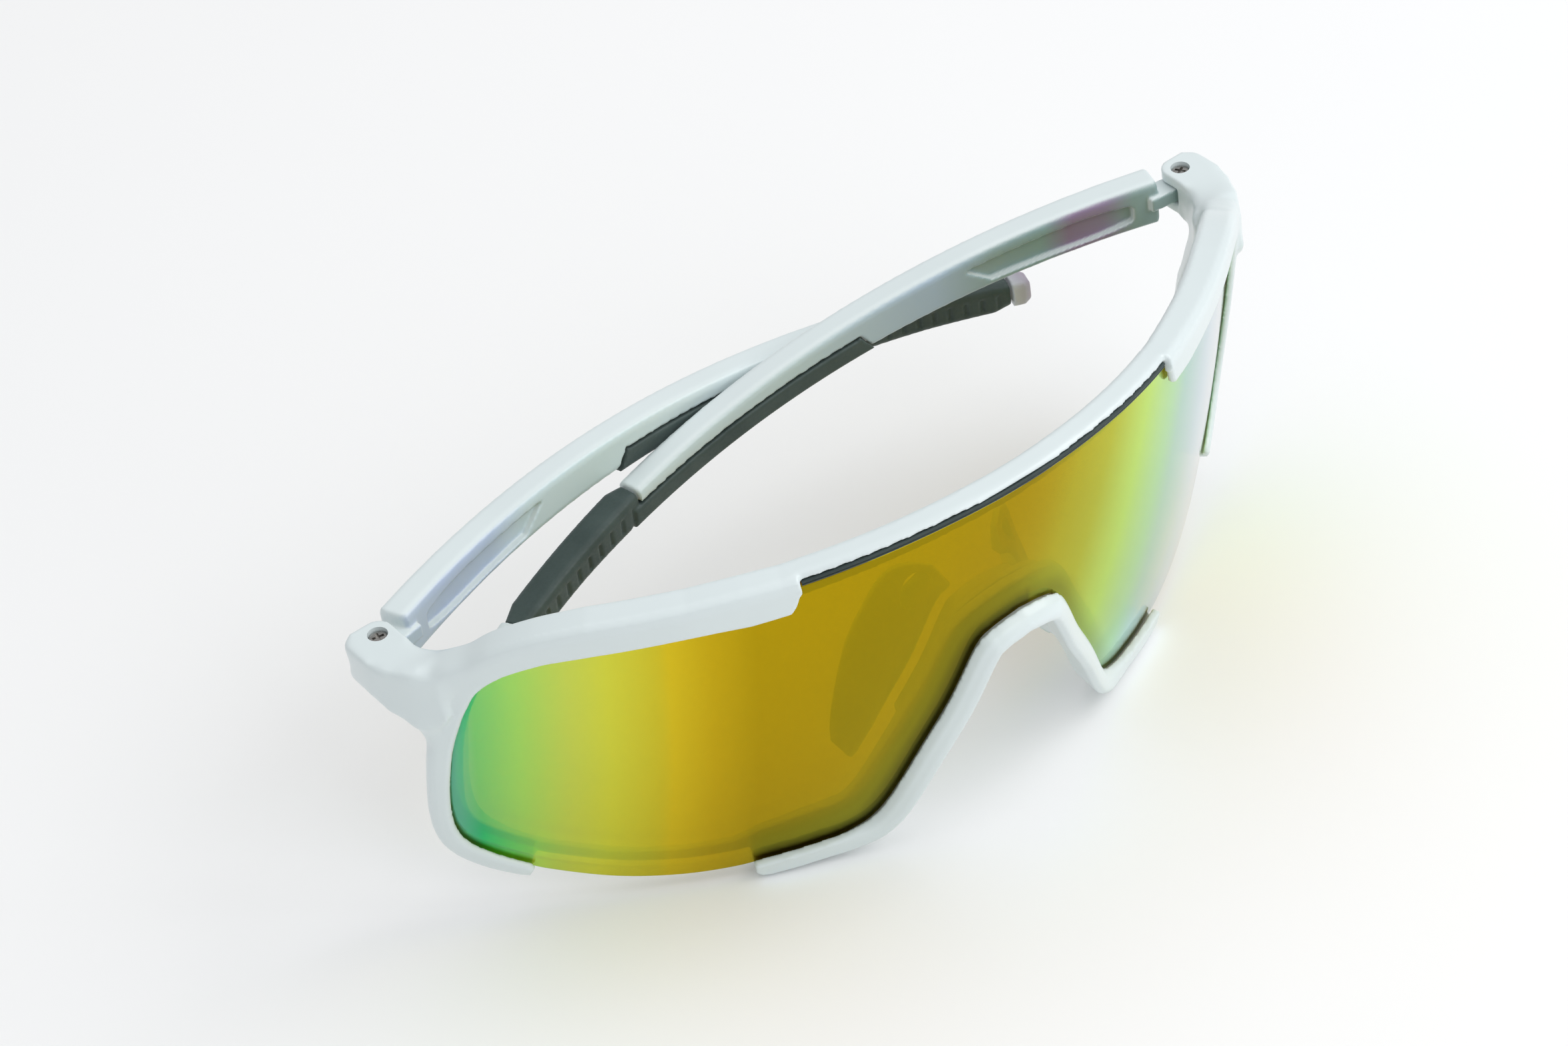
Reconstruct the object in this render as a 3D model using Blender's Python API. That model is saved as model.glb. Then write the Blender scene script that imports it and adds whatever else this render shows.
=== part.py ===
"""Wraparound sport sunglasses with a one-piece shield lens, temples folded.

Lengths are in millimetres until a mesh is made, where MM turns them into metres.
Shapes are drawn in the lens frame: its origin is the lens's foremost point on the
centre line, +X is the wearer's left, -Y is forward and +Z is up along the hinges.
Empties carry that frame to the world, and each temple to its hinge.
"""

import math

import bmesh
import bpy
import numpy as np
from mathutils import Vector

MM = 0.001
GAP = 0.3  # clearance kept between touching pieces

# The lens frame in the world: the object's box is centred on Z and stands on z = 0.
CENTRE_BACK = 33.595
LIFT = 52.33

# Lens surface: a parabola across, tilted and slightly barrelled up and down.
LENS_RADIUS = 65.1
LENS_TILT = 0.1231
LENS_BARREL = 0.00178
LENS_THICKNESS = 1.6

# Hinges.
HINGE_X = 68.0
HINGE_Y = 46.7
LUG_TOP = -4.9
LUG_BOTTOM = -10.8
TOP_PLATE = 1.7
BOTTOM_PLATE = 1.5
SCREW_RADIUS = 1.22
SHAFT_RADIUS = 0.7
INSERT_RADIUS = 1.25
FOLD_OUTER = 78.2  # degrees from fully open, for the right temple, which folds outside
FOLD_INNER = 83.0  # and for the left temple, which folds against the lens

# Temples, along their length from the hinge axis.
SHOULDER = 3.5
STRIP_START = 48.9
SLEEVE_START = 91.1
SLEEVE_END = 115.2
TEMPLE_END = 118.0
POCKET_START = 7.5
POCKET_END = 33.7

# Half of the lens's edge, from the middle of the brow round to the nose arch:
# x, z, then how far the frame reaches outside the edge, how wide the rim behind the
# lens is, how far back it goes, and how much of the lens a front lip covers.
LENS_EDGE = (
    (0.0, 6.3, 1.8, 3.8, 3.4, 0.0),
    (8.0, 6.2, 1.8, 3.8, 3.4, 0.0),
    (15.0, 5.8, 1.8, 3.8, 3.4, 0.0),
    (22.0, 5.1, 1.9, 3.8, 3.4, 0.0),
    (28.4, 4.3, 2.0, 3.8, 3.4, 0.0),
    (30.0, 4.05, 2.05, 3.8, 3.4, 0.6),
    (31.6, 3.8, 2.1, 3.8, 3.4, 3.4),
    (36.0, 3.0, 2.5, 3.8, 3.5, 3.2),
    (42.0, 1.9, 2.7, 3.6, 3.6, 2.4),
    (52.0, -0.4, 3.6, 3.4, 3.8, 1.4),
    (57.0, -1.9, 3.7, 3.2, 3.8, 0.9),
    (61.0, -3.9, 3.6, 3.2, 3.8, 0.9),
    (63.8, -6.5, 3.3, 3.0, 3.8, 1.3),
    (65.3, -9.8, 3.1, 3.0, 4.4, 1.6),
    (66.3, -14.2, 2.6, 3.0, 5.6, 1.5),
    (67.0, -20.0, 2.3, 3.0, 6.6, 1.2),
    (67.3, -27.0, 2.2, 3.0, 6.8, 1.0),
    (67.2, -33.0, 2.2, 3.2, 6.2, 1.0),
    (66.5, -37.2, 2.3, 3.0, 5.0, 1.0),
    (65.0, -40.1, 2.3, 3.0, 4.0, 1.0),
    (62.5, -42.5, 2.2, 3.0, 3.4, 1.0),
    (59.6, -44.6, 1.7, 3.0, 3.2, 1.1),
    (57.0, -46.1, -0.8, 3.0, 3.2, 0.0),
    (50.3, -48.7, -0.8, 3.0, 3.2, 0.0),
    (43.4, -50.0, -0.8, 3.0, 3.2, 0.0),
    (37.0, -50.2, -0.8, 3.2, 3.3, 0.0),
    (33.1, -49.7, 2.4, 4.4, 3.4, 1.0),
    (28.0, -49.2, 2.5, 5.0, 3.5, 1.0),
    (22.8, -48.2, 2.6, 5.0, 3.6, 1.0),
    (18.8, -44.9, 2.8, 4.6, 3.6, 1.0),
    (14.0, -34.5, 2.9, 4.3, 3.7, 1.0),
    (10.4, -27.2, 2.9, 4.0, 3.7, 1.0),
    (6.9, -18.9, 2.9, 3.6, 3.7, 1.0),
    (4.2, -16.9, 2.7, 3.2, 3.7, 1.0),
    (0.0, -16.1, 2.6, 3.0, 3.7, 1.0),
)
EDGE_STEPS = 3  # sections between two of the rows above
LIP_PROUD = 1.25
NOSE_PROUD = 1.5

# The lug that joins each side of the frame to its hinge starts inside the rim, as
# (x, z) on the lens's back, and goes on as upright sections: y, inner x, outer x,
# bottom z, top z.
LUG_ROOT_DEPTH = 2.5
LUG_ROOT = (
    (65.0, -14.4),
    (67.2, -14.4),
    (67.8, -13.4),
    (66.2, -5.4),
    (64.6, -3.4),
    (61.2, -3.4),
    (60.4, -5.4),
    (64.0, -13.2),
)
LUG_SECTIONS = (
    (39.6, 64.8, 71.2, -13.6, -4.8),
    (43.6, 65.3, 72.1, -11.7, LUG_TOP),
    (46.7, 65.5, 72.5, -11.0, LUG_TOP),
    (48.6, 65.9, 72.5, LUG_BOTTOM, LUG_TOP),
    (49.4, 67.0, 71.8, LUG_BOTTOM, LUG_TOP - 0.1),
)
# The flare outside it, from the lip's outer wall back.
FLARE_SECTIONS = (
    (34.4, 66.7, 68.0, -12.6, -5.6),
    (36.8, 67.4, 70.0, -15.4, -5.0),
    (39.6, 66.4, 71.15, -13.7, -4.9),
    (42.0, 66.6, 71.6, -12.2, -5.1),
)

CARRIER_THICK = 1.1  # the nose carrier's wall

WHITE = (0.80, 0.85, 0.85)
RUBBER = (0.055, 0.085, 0.080)
STEEL = (0.62, 0.60, 0.56)
BRASS = (0.70, 0.52, 0.24)
LENS_GOLD = (0.62, 0.52, 0.06)
SILICONE = (0.55, 0.62, 0.60)


# ---------------------------------------------------------------- scene helpers


def clear_scene():
    for obj in list(bpy.data.objects):
        bpy.data.objects.remove(obj, do_unlink=True)


def material(name, colour, roughness, metallic=0.0):
    made = bpy.data.materials.new(name)
    made.use_nodes = True
    shader = made.node_tree.nodes["Principled BSDF"]
    shader.inputs["Base Color"].default_value = (*colour, 1.0)
    shader.inputs["Roughness"].default_value = roughness
    shader.inputs["Metallic"].default_value = metallic
    return made


def empty(name, place, turn=0.0, parent=None):
    made = bpy.data.objects.new(name, None)
    made.location = [value * MM for value in place]
    made.rotation_euler = (0.0, 0.0, math.radians(turn))
    made.parent = parent
    bpy.context.scene.collection.objects.link(made)
    return made


def cutter_collection():
    made = bpy.data.collections.new("cutters")
    made.hide_render = True
    bpy.context.scene.collection.children.link(made)
    return made


def finish_mesh(mesh, name, parent, look=None, smooth=False):
    """Links an object for the bmesh. One with no look is a cutter or a piece to join."""
    bmesh.ops.remove_doubles(mesh, verts=mesh.verts, dist=0.00001)
    bmesh.ops.recalc_face_normals(mesh, faces=mesh.faces)
    data = bpy.data.meshes.new(name)
    mesh.to_mesh(data)
    mesh.free()
    made = bpy.data.objects.new(name, data)
    made.parent = parent
    if look is None:
        made.hide_render = True
        made.display_type = "WIRE"
        bpy.data.collections["cutters"].objects.link(made)
        return made
    data.materials.append(look)
    for polygon in data.polygons:
        polygon.use_smooth = smooth
    bpy.context.scene.collection.objects.link(made)
    return made


def loft(rings, loop=False):
    """A bmesh skinned over rings of as many points each, closed into a loop or capped."""
    mesh = bmesh.new()
    rows = []
    for ring in rings:
        rows.append([mesh.verts.new([value * MM for value in point]) for point in ring])
    count = len(rings[0])
    pairs = list(zip(rows, rows[1:]))
    if loop:
        pairs.append((rows[-1], rows[0]))
    for first, second in pairs:
        for i in range(count):
            j = (i + 1) % count
            mesh.faces.new((first[i], first[j], second[j], second[i]))
    if not loop:
        mesh.faces.new(rows[0][::-1])
        mesh.faces.new(rows[-1])
    return mesh


def cylinder(radius, low, high, centre=(0.0, 0.0), segments=32, top_radius=None):
    """An upright cylinder or cone between two heights."""
    mesh = bmesh.new()
    bmesh.ops.create_cone(
        mesh,
        cap_ends=True,
        segments=segments,
        radius1=radius * MM,
        radius2=(radius if top_radius is None else top_radius) * MM,
        depth=(high - low) * MM,
    )
    middle = Vector((centre[0], centre[1], (low + high) / 2)) * MM
    bmesh.ops.translate(mesh, verts=mesh.verts, vec=middle)
    return mesh


def block(low, high):
    """A box between two corners."""
    mesh = bmesh.new()
    bmesh.ops.create_cube(mesh, size=1.0)
    size = (Vector(high) - Vector(low)) * MM
    bmesh.ops.scale(mesh, verts=mesh.verts, vec=size)
    bmesh.ops.translate(mesh, verts=mesh.verts, vec=(Vector(high) + Vector(low)) * MM / 2)
    return mesh


def combine(obj, other, operation):
    made = obj.modifiers.new(other.name, "BOOLEAN")
    made.operation = operation
    made.solver = "EXACT"
    made.object = other


def mirrored(mesh):
    """The same bmesh turned over the centre plane, with its faces still outward."""
    bmesh.ops.scale(mesh, verts=mesh.verts, vec=(-1.0, 1.0, 1.0))
    bmesh.ops.reverse_faces(mesh, faces=mesh.faces)
    return mesh


# ---------------------------------------------------------------- lens geometry


def across(x):
    """Distance along the lens from its middle to x, over the parabola."""
    slope = x / LENS_RADIUS
    return 0.5 * (x * math.sqrt(1 + slope * slope) + LENS_RADIUS * math.asinh(slope))


ACROSS_X = np.linspace(-80.0, 80.0, 1601)
ACROSS_U = np.array([across(x) for x in ACROSS_X])


def on_lens(u, z, depth):
    """The point at (u, z) on the unrolled lens, and depth behind its front face."""
    x = float(np.interp(u, ACROSS_U, ACROSS_X))
    z = float(z)
    y = x * x / (2 * LENS_RADIUS) - LENS_TILT * z + LENS_BARREL * z * z
    back = Vector((-x / LENS_RADIUS, 1.0, LENS_TILT - 2 * LENS_BARREL * z)).normalized()
    return Vector((x, y, z)) + float(depth) * back


def curve_through(rows, t):
    """The point at t on a Catmull-Rom curve that passes through row k at t = k."""
    k = min(int(t), len(rows) - 2)
    f = t - k
    b, c = np.array(rows[k]), np.array(rows[k + 1])
    a = np.array(rows[k - 1]) if k else 2 * b - c
    d = np.array(rows[k + 2]) if k + 2 < len(rows) else 2 * c - b
    return 0.5 * (
        2 * b + (c - a) * f + (2 * a - 5 * b + 4 * c - d) * f * f + (3 * b - a - 3 * c + d) * f**3
    )


EDGE_XZ = [row[:2] for row in LENS_EDGE]
LAST_ROW = len(LENS_EDGE) - 1


def edge_point(t):
    """(u, z) on the lens edge. It runs past both ends of the half, onto the mirrored one."""
    if t < 0:
        u, z = edge_point(-t)
        return np.array([-u, z])
    if t > LAST_ROW:
        u, z = edge_point(2 * LAST_ROW - t)
        return np.array([-u, z])
    x, z = curve_through(EDGE_XZ, t)
    return np.array([np.interp(x, ACROSS_X, ACROSS_U), z])


def edge_outward(t, ease):
    """The unit direction out of the edge, read over a stretch of the curve about t."""
    along = edge_point(t + ease) - edge_point(t - ease)
    along /= np.linalg.norm(along)
    return np.array([-along[1], along[0]])


def edge_widths(t):
    """The frame's sizes at t: its reach outside the edge, rim, back and lip."""
    keys = range(len(LENS_EDGE))
    return [float(np.interp(t, keys, [row[i] for row in LENS_EDGE])) for i in (2, 3, 4, 5)]


def edge_ring(t, profile):
    """A ring of points: each profile pair is (distance out of the edge, depth).

    Points well inside the edge follow a steadier direction, so that rings never cross.
    """
    point = edge_point(t)
    near, far = edge_outward(t, 0.5), edge_outward(t, 1.3)
    ring = []
    for q, depth in profile:
        out = far if q < -1.5 else near
        ring.append(on_lens(point[0] + q * out[0], point[1] + q * out[1], depth))
    return ring


def mirrored_ring(ring):
    return [Vector((-point.x, point.y, point.z)) for point in ring]


# ---------------------------------------------------------------- front pieces

SEAT = LENS_THICKNESS + GAP
# Where along the edge the frame changes its section.
CAP_END = 4.8
SIDE_LIP_END = 21.3
NOSE_LIP_START = 25.55


def lip_section(out, rim, back, lip, proud):
    """A rim behind the lens, a wall outside its edge and a lip over its front."""
    return (
        (-lip, -GAP),
        (-lip, -proud + 0.35),
        (-lip + 0.35, -proud),
        (out - 1.5, -proud),
        (out - 0.5, -proud + 0.3),
        (out, -proud + 1.15),
        (out, back - 0.7),
        (out - 0.7, back),
        (-rim + 0.7, back),
        (-rim, back - 0.5),
        (-rim, SEAT),
        (GAP, SEAT),
        (GAP, -GAP),
    )


def cap_section(out, rim, back):
    """The brow bar above the gasket, with nothing over the lens's front."""
    low = 1.05
    return (
        (low, 0.75),
        (low, 0.3),
        (low + 0.08, 0.0),
        (low + 0.2, -0.25),
        (out - 0.15, 0.1),
        (out, 0.6),
        (out, back - 0.7),
        (out - 0.6, back),
        (-rim + 0.7, back),
        (-rim, back - 0.5),
        (-rim, SEAT),
        (0.4, SEAT),
        (low, SEAT - 0.5),
    )


def bare_section(out, rim, back):
    """The rim alone, behind the part of the lens that has no frame round it."""
    front = [(out - 0.2 - k * 0.08, SEAT) for k in range(6)]
    return (
        front[2],
        front[1],
        front[0],
        (out - 0.1, SEAT + 0.05),
        (out, SEAT + 0.15),
        (out, SEAT + 0.4),
        (out, back - 0.5),
        (out - 0.5, back),
        (-rim + 0.7, back),
        (-rim, back - 0.5),
        (-rim, SEAT),
        front[5],
        front[4],
    )


def thin_section(rim, back):
    """The lip and wall shrunk to a sliver, so that a lip ends without crossing the lens."""
    wall = GAP + 0.3
    return (
        (GAP + 0.04, -GAP - 0.04),
        (GAP + 0.08, -GAP - 0.08),
        (GAP + 0.12, -GAP - 0.1),
        (GAP + 0.18, -GAP - 0.1),
        (GAP + 0.24, -GAP - 0.06),
        (wall, -GAP),
        (wall, back - 0.7),
        (wall - 0.7, back),
        (-rim + 0.7, back),
        (-rim, back - 0.5),
        (-rim, SEAT),
        (GAP, SEAT),
        (GAP, -GAP),
    )


def frame_stations():
    """(t, section kind) down the half, with close stations where the kind changes."""
    spans = (
        ("cap", 0.0, CAP_END - 0.02),
        ("side", CAP_END + 0.02, SIDE_LIP_END),
        ("thin", SIDE_LIP_END + 0.02, None),
        ("stub", SIDE_LIP_END + 0.04, None),
        ("bare", SIDE_LIP_END + 0.06, NOSE_LIP_START - 0.06),
        ("stub", NOSE_LIP_START - 0.04, None),
        ("thin", NOSE_LIP_START - 0.02, None),
        ("nose", NOSE_LIP_START, float(LAST_ROW)),
    )
    found = []
    for kind, start, stop in spans:
        found.append((start, kind))
        if stop is None:
            continue
        inner = [k / EDGE_STEPS for k in range(LAST_ROW * EDGE_STEPS + 1)]
        found += [(t, kind) for t in inner if start + 0.12 < t < stop - 0.12]
        found.append((stop, kind))
    return found


def frame_ring(t, kind):
    out, rim, back, lip = edge_widths(t)
    if kind == "cap":
        return edge_ring(t, cap_section(max(out, 1.7), rim, back))
    if kind == "thin":
        return edge_ring(t, thin_section(rim, back))
    if kind in ("bare", "stub"):
        return edge_ring(t, bare_section(-0.8 if kind == "bare" else GAP + 0.3, rim, back))
    proud = NOSE_PROUD if kind == "nose" else LIP_PROUD
    least = 2.3 if kind == "nose" else 1.5
    section = lip_section(max(out, least), rim, back, max(lip, 0.6), proud)
    return edge_ring(t, section)


def frame_ring_mesh():
    half = [frame_ring(t, kind) for t, kind in frame_stations()]
    other = [mirrored_ring(ring) for ring in half[::-1][1:-1]]
    return loft(half + other, loop=True)


def lug_ring(y, inner, outer, low, high):
    """One upright section of a lug, a rectangle with its corners eased."""
    ease = min(0.9, (outer - inner) / 3)
    return [
        Vector((inner + ease, y, low)),
        Vector((outer - ease, y, low)),
        Vector((outer, y, low + ease)),
        Vector((outer, y, high - ease)),
        Vector((outer - ease, y, high)),
        Vector((inner + ease, y, high)),
        Vector((inner, y, high - 0.6)),
        Vector((inner, y, low + ease)),
    ]


def hinge_slot_mesh():
    """The slot between the lug's plates, open to the inside and to the back."""
    low = LUG_BOTTOM + BOTTOM_PLATE
    high = LUG_TOP - TOP_PLATE
    return block(
        (HINGE_X - 9.0, HINGE_Y - 2.9, low),
        (HINGE_X + 3.3, HINGE_Y + 9.0, high),
    )


def lug_mesh():
    root = [on_lens(across(x), z, LUG_ROOT_DEPTH) for x, z in LUG_ROOT]
    return loft([root, *(lug_ring(*section) for section in LUG_SECTIONS)])


def flare_mesh():
    return loft([lug_ring(*section) for section in FLARE_SECTIONS])


def make_front_frame(root, look):
    frame = finish_mesh(frame_ring_mesh(), "front_frame", root, look)
    centre = (HINGE_X, HINGE_Y)
    for make in (lug_mesh, flare_mesh):
        for mesh in (make(), mirrored(make())):
            combine(frame, finish_mesh(mesh, "lug", root), "UNION")
    for turn in (lambda mesh: mesh, mirrored):
        cuts = (
            hinge_slot_mesh(),
            cylinder(SCREW_RADIUS + GAP, LUG_TOP - 1.2, LUG_TOP + 1.0, centre),
            cylinder(SHAFT_RADIUS + GAP, LUG_BOTTOM - 1.0, LUG_TOP, centre),
            cylinder(
                INSERT_RADIUS + GAP, LUG_BOTTOM + 0.35, LUG_BOTTOM + BOTTOM_PLATE + 0.5, centre
            ),
        )
        for mesh in cuts:
            combine(frame, finish_mesh(turn(mesh), "hinge_cut", root), "DIFFERENCE")
    return frame


WIDEST_ROW = 16


def lens_rows():
    """Stations across the lens as (u, z of its lower edge, z of its upper edge)."""
    half = np.array([edge_point(t) for t in np.linspace(0, LAST_ROW, LAST_ROW * 8 + 1)])
    widest = int(np.argmax(half[:, 0]))
    top_u, top_z = half[: widest + 1].T
    low_u, low_z = half[: widest - 1 : -1].T
    marks = [edge_point(t)[0] for t in range(WIDEST_ROW)]
    marks += [edge_point(t / 2)[0] for t in range(2 * WIDEST_ROW, 2 * LAST_ROW)]
    limit = half[widest, 0] - 0.02
    kept = []
    for u in sorted(marks):
        if 0.4 < u < limit - 0.3 and (not kept or u - kept[-1] > 0.35):
            kept.append(float(u))
    across_lens = [-limit, *(-u for u in kept[::-1]), 0.0, *kept, limit]
    return [
        (u, float(np.interp(abs(u), low_u, low_z)), float(np.interp(abs(u), top_u, top_z)))
        for u in across_lens
    ]


def make_lens(root, look):
    """The shield lens: a front and a back skin joined round a chamfered edge."""
    chamfer = 0.3
    heights = (0.0, 0.12, 0.35, 0.65, 0.88, 1.0)
    rings = []
    for u, low, high in lens_rows():
        inset = min(chamfer, (high - low) * 0.2)
        front = [low + inset + t * (high - low - 2 * inset) for t in heights]
        ring = [on_lens(u, z, 0.0) for z in front]
        ring.append(on_lens(u, high, chamfer))
        ring.append(on_lens(u, high, LENS_THICKNESS - chamfer))
        ring += [on_lens(u, z, LENS_THICKNESS) for z in front[::-1]]
        ring.append(on_lens(u, low, LENS_THICKNESS - chamfer))
        ring.append(on_lens(u, low, chamfer))
        rings.append(ring)
    return finish_mesh(loft(rings), "lens", root, look, smooth=True)


def make_gasket(root, look):
    """The rubber strip between the brow bar and the lens's top edge."""
    profile = (
        (GAP, 0.0),
        (0.45, -0.12),
        (0.6, 0.0),
        (0.72, 0.1),
        (0.72, 1.0),
        (GAP, 1.0),
    )
    half = [edge_ring(t, profile) for t in np.linspace(0.0, CAP_END - 0.25, 13)]
    other = [mirrored_ring(ring) for ring in half[:0:-1]]
    return finish_mesh(loft(other + half), "brow_gasket", root, look)


# ---------------------------------------------------------------- nose pieces


NOSE_LEG_END = 29.9  # where along the edge the carrier's legs end
PAD_SPAN = (29.5, 31.9)


def make_nose_carrier(root, look):
    """The saddle that clips behind the nose rim and carries both pads."""
    half = []
    for t in np.linspace(NOSE_LEG_END, LAST_ROW, 17):
        back = edge_widths(t)[2] + GAP
        inner, outer = 0.2, 0.2 + CARRIER_THICK
        profile = (
            (inner - 2.4, back),
            (outer, back),
            (outer + 0.3, back + 4.2),
            (outer - 0.7, back + 4.2),
            (inner - 0.3, back + CARRIER_THICK),
            (inner - 2.4, back + CARRIER_THICK),
        )
        half.append(edge_ring(t, profile))
    other = [mirrored_ring(ring) for ring in half[-2::-1]]
    return finish_mesh(loft(half + other), "nose_carrier", root, look)


def pad_mesh():
    """The wearer's left nose pad, a soft wing that spreads back from the carrier."""
    rings = []
    for share in np.linspace(0.0, 1.0, 13):
        t = PAD_SPAN[0] + share * (PAD_SPAN[1] - PAD_SPAN[0])
        swell = math.sin(math.pi * (0.06 + 0.88 * share)) ** 0.5
        base = edge_widths(t)[2] + GAP + CARRIER_THICK + 3.6
        reach = 6.4 * swell
        near = -1.7
        profile = (
            (near, base),
            (near + 1.0, base - 0.1),
            (near - 0.1 * reach + 1.3, base + 0.55 * reach),
            (near - 0.55 * reach + 0.8, base + 0.95 * reach),
            (near - 0.75 * reach, base + reach),
            (near - 0.75 * reach - 0.6, base + 0.85 * reach),
            (near - 0.35 * reach - 0.5, base + 0.5 * reach),
        )
        rings.append(edge_ring(t, profile))
    return loft(rings)


# ---------------------------------------------------------------- temples


def outer_face(s):
    """How far towards the head the temple's outer face is, at s along it."""
    t = s / 100.0
    return -2.9 - 19.02 * t + 8.62 * t * t + 14.23 * t**3


def top_edge(s):
    """Height of the temple's top edge: it drops towards the ear."""
    t = s / 100.0
    return LUG_TOP + 0.66 * t - 21.9 * t * t + 9.29 * t**3


def height(s):
    return max(7.2 - 2.9 * s / 100.0, 4.2)


def thickness(s):
    return 4.6 - 0.5 * s / 100.0


def temple_frame(s):
    """Outer-face point in plan and the direction towards the head, at s."""
    step = 0.5
    slope = (outer_face(s + step) - outer_face(s - step)) / (2 * step)
    inward = Vector((1.0, -slope)).normalized()
    return Vector((outer_face(s), s)), inward


def temple_ring(s, profile):
    """Profile pairs (depth from the outer face, height below the top edge) at s."""
    base, inward = temple_frame(s)
    ring = []
    for depth, drop in profile:
        x, y = base + float(depth) * inward
        ring.append(Vector((x, y, top_edge(s) - drop)))
    return ring


def temple_profile(s, shrink=0.0, ease=0.8):
    """A rectangle with eased corners; the inner top edge is the softest."""
    wide = thickness(s) - shrink
    tall = height(s) - shrink
    low = shrink
    soft = 1.2 * ease
    return (
        (low + ease, low),
        (wide - soft, low),
        (wide - 0.3 * soft, low + 0.3 * soft),
        (wide, low + soft),
        (wide, tall - ease),
        (wide - 0.3 * ease, tall - 0.3 * ease),
        (wide - ease, tall),
        (low + ease, tall),
        (low + 0.3 * ease, tall - 0.3 * ease),
        (low, tall - ease),
        (low, low + ease),
        (low + 0.3 * ease, low + 0.3 * ease),
    )


def stations(first, last, step=2.6):
    count = max(2, int(round((last - first) / step)) + 1)
    return [float(s) for s in np.linspace(first, last, count)]


SLEEVE_SHRINK = 1.0


def temple_arm_mesh():
    """The arm, thinner where the rubber sleeve goes over it, with a plain tip."""
    rings = []
    for s in (SHOULDER, SHOULDER + 0.35):
        rings.append(temple_ring(s, temple_profile(s, 0.45 if s == SHOULDER else 0.0)))
    for s in stations(SHOULDER + 1.2, SLEEVE_START - GAP):
        rings.append(temple_ring(s, temple_profile(s)))
    for s in stations(SLEEVE_START - GAP + 0.05, SLEEVE_END + GAP - 0.05, 4.5):
        rings.append(temple_ring(s, temple_profile(s, SLEEVE_SHRINK, 0.4)))
    for s in stations(SLEEVE_END + GAP, TEMPLE_END - 1.0):
        rings.append(temple_ring(s, temple_profile(s)))
    rings.append(temple_ring(TEMPLE_END, temple_profile(TEMPLE_END, 0.6, 0.5)))
    return loft(rings)


def tongue_height():
    return (LUG_BOTTOM + BOTTOM_PLATE + GAP, LUG_TOP - TOP_PLATE - GAP)


def tongue_mesh():
    """The neck that runs from the shoulder into the lug."""
    low, high = tongue_height()
    return block((-1.9, 0.0, low), (1.7, SHOULDER + 2.5, high))


def pocket_mesh():
    """The long recess in the inner face, with a slanted far end."""
    deep = 1.1
    rings = []
    for s in stations(POCKET_START, POCKET_END, 3.2):
        far = (s - POCKET_START) / (POCKET_END - POCKET_START)
        near_end = 1.0 - min(1.0, (s - POCKET_START) / 5.0)
        top = 1.9 + 0.8 * near_end
        low = height(s) - 0.95 - 0.8 * near_end
        ring = []
        for depth, drop in ((-deep, top), (2.0, top), (2.0, low), (-deep, low)):
            back = 4.2 * far**3 * (drop - top) / (low - top)
            base, inward = temple_frame(s - back)
            x, y = base + (thickness(s) + depth) * inward
            ring.append(Vector((x, y, top_edge(s - back) - drop)))
        rings.append(ring)
    return loft(rings)


def strip_profile(s, grow=0.0):
    """The strip in the lower inner corner, standing a little proud of the arm."""
    wide, tall = thickness(s), height(s)
    return (
        (wide - 1.5 - grow, tall + 0.35 + grow),
        (wide - 1.5 - grow, tall - 2.3 - grow),
        (wide + 0.12 + grow, tall - 2.5 - grow),
        (wide + 0.3 + grow, tall - 2.1),
        (wide + 0.3 + grow, tall - 0.1),
        (wide - 0.1, tall + 0.35 + grow),
    )


def strip_mesh(grow=0.0):
    """The rubber strip, or with grow the recess for it."""
    first, last = STRIP_START, SLEEVE_START + 1.5 + grow
    rings = [temple_ring(s, strip_profile(s, grow)) for s in stations(first, last)]
    slant = 1.9
    for point, (depth, drop) in zip(rings[0], strip_profile(first, grow)):
        share = (height(first) - drop) / 2.3
        point.y += slant * max(0.0, share) - grow
    return loft(rings)


def sleeve_mesh():
    rings = []
    spans = stations(SLEEVE_START, SLEEVE_END, 2.4)
    for s in spans:
        shrink = 0.3 if s in (spans[0], spans[-1]) else -0.2
        rings.append(temple_ring(s, temple_profile(s, shrink)))
    return loft(rings)


def sleeve_bore_mesh():
    rings = []
    for s in stations(SLEEVE_START - 1.0, SLEEVE_END + 1.0, 4.5):
        rings.append(temple_ring(s, temple_profile(s, SLEEVE_SHRINK - GAP, 0.3)))
    return loft(rings)


RIB_COUNT = 10


def rib_cut_mesh(k):
    """One of the slanted grooves across the sleeve's inner face."""
    pitch = (SLEEVE_END - SLEEVE_START - 3.4) / (RIB_COUNT - 1)
    s = SLEEVE_START + 1.7 + k * pitch
    rings = []
    for shift, deep in ((-0.55, 0.0), (0.0, 0.45), (0.35, 0.0)):
        wide = thickness(s) + 0.2
        profile = (
            (wide - deep, 1.3),
            (wide + 0.6, 1.3),
            (wide + 0.6, height(s) - 0.7),
            (wide - deep, height(s) - 0.7),
        )
        rings.append(temple_ring(s + shift, profile))
    return loft(rings)


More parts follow.
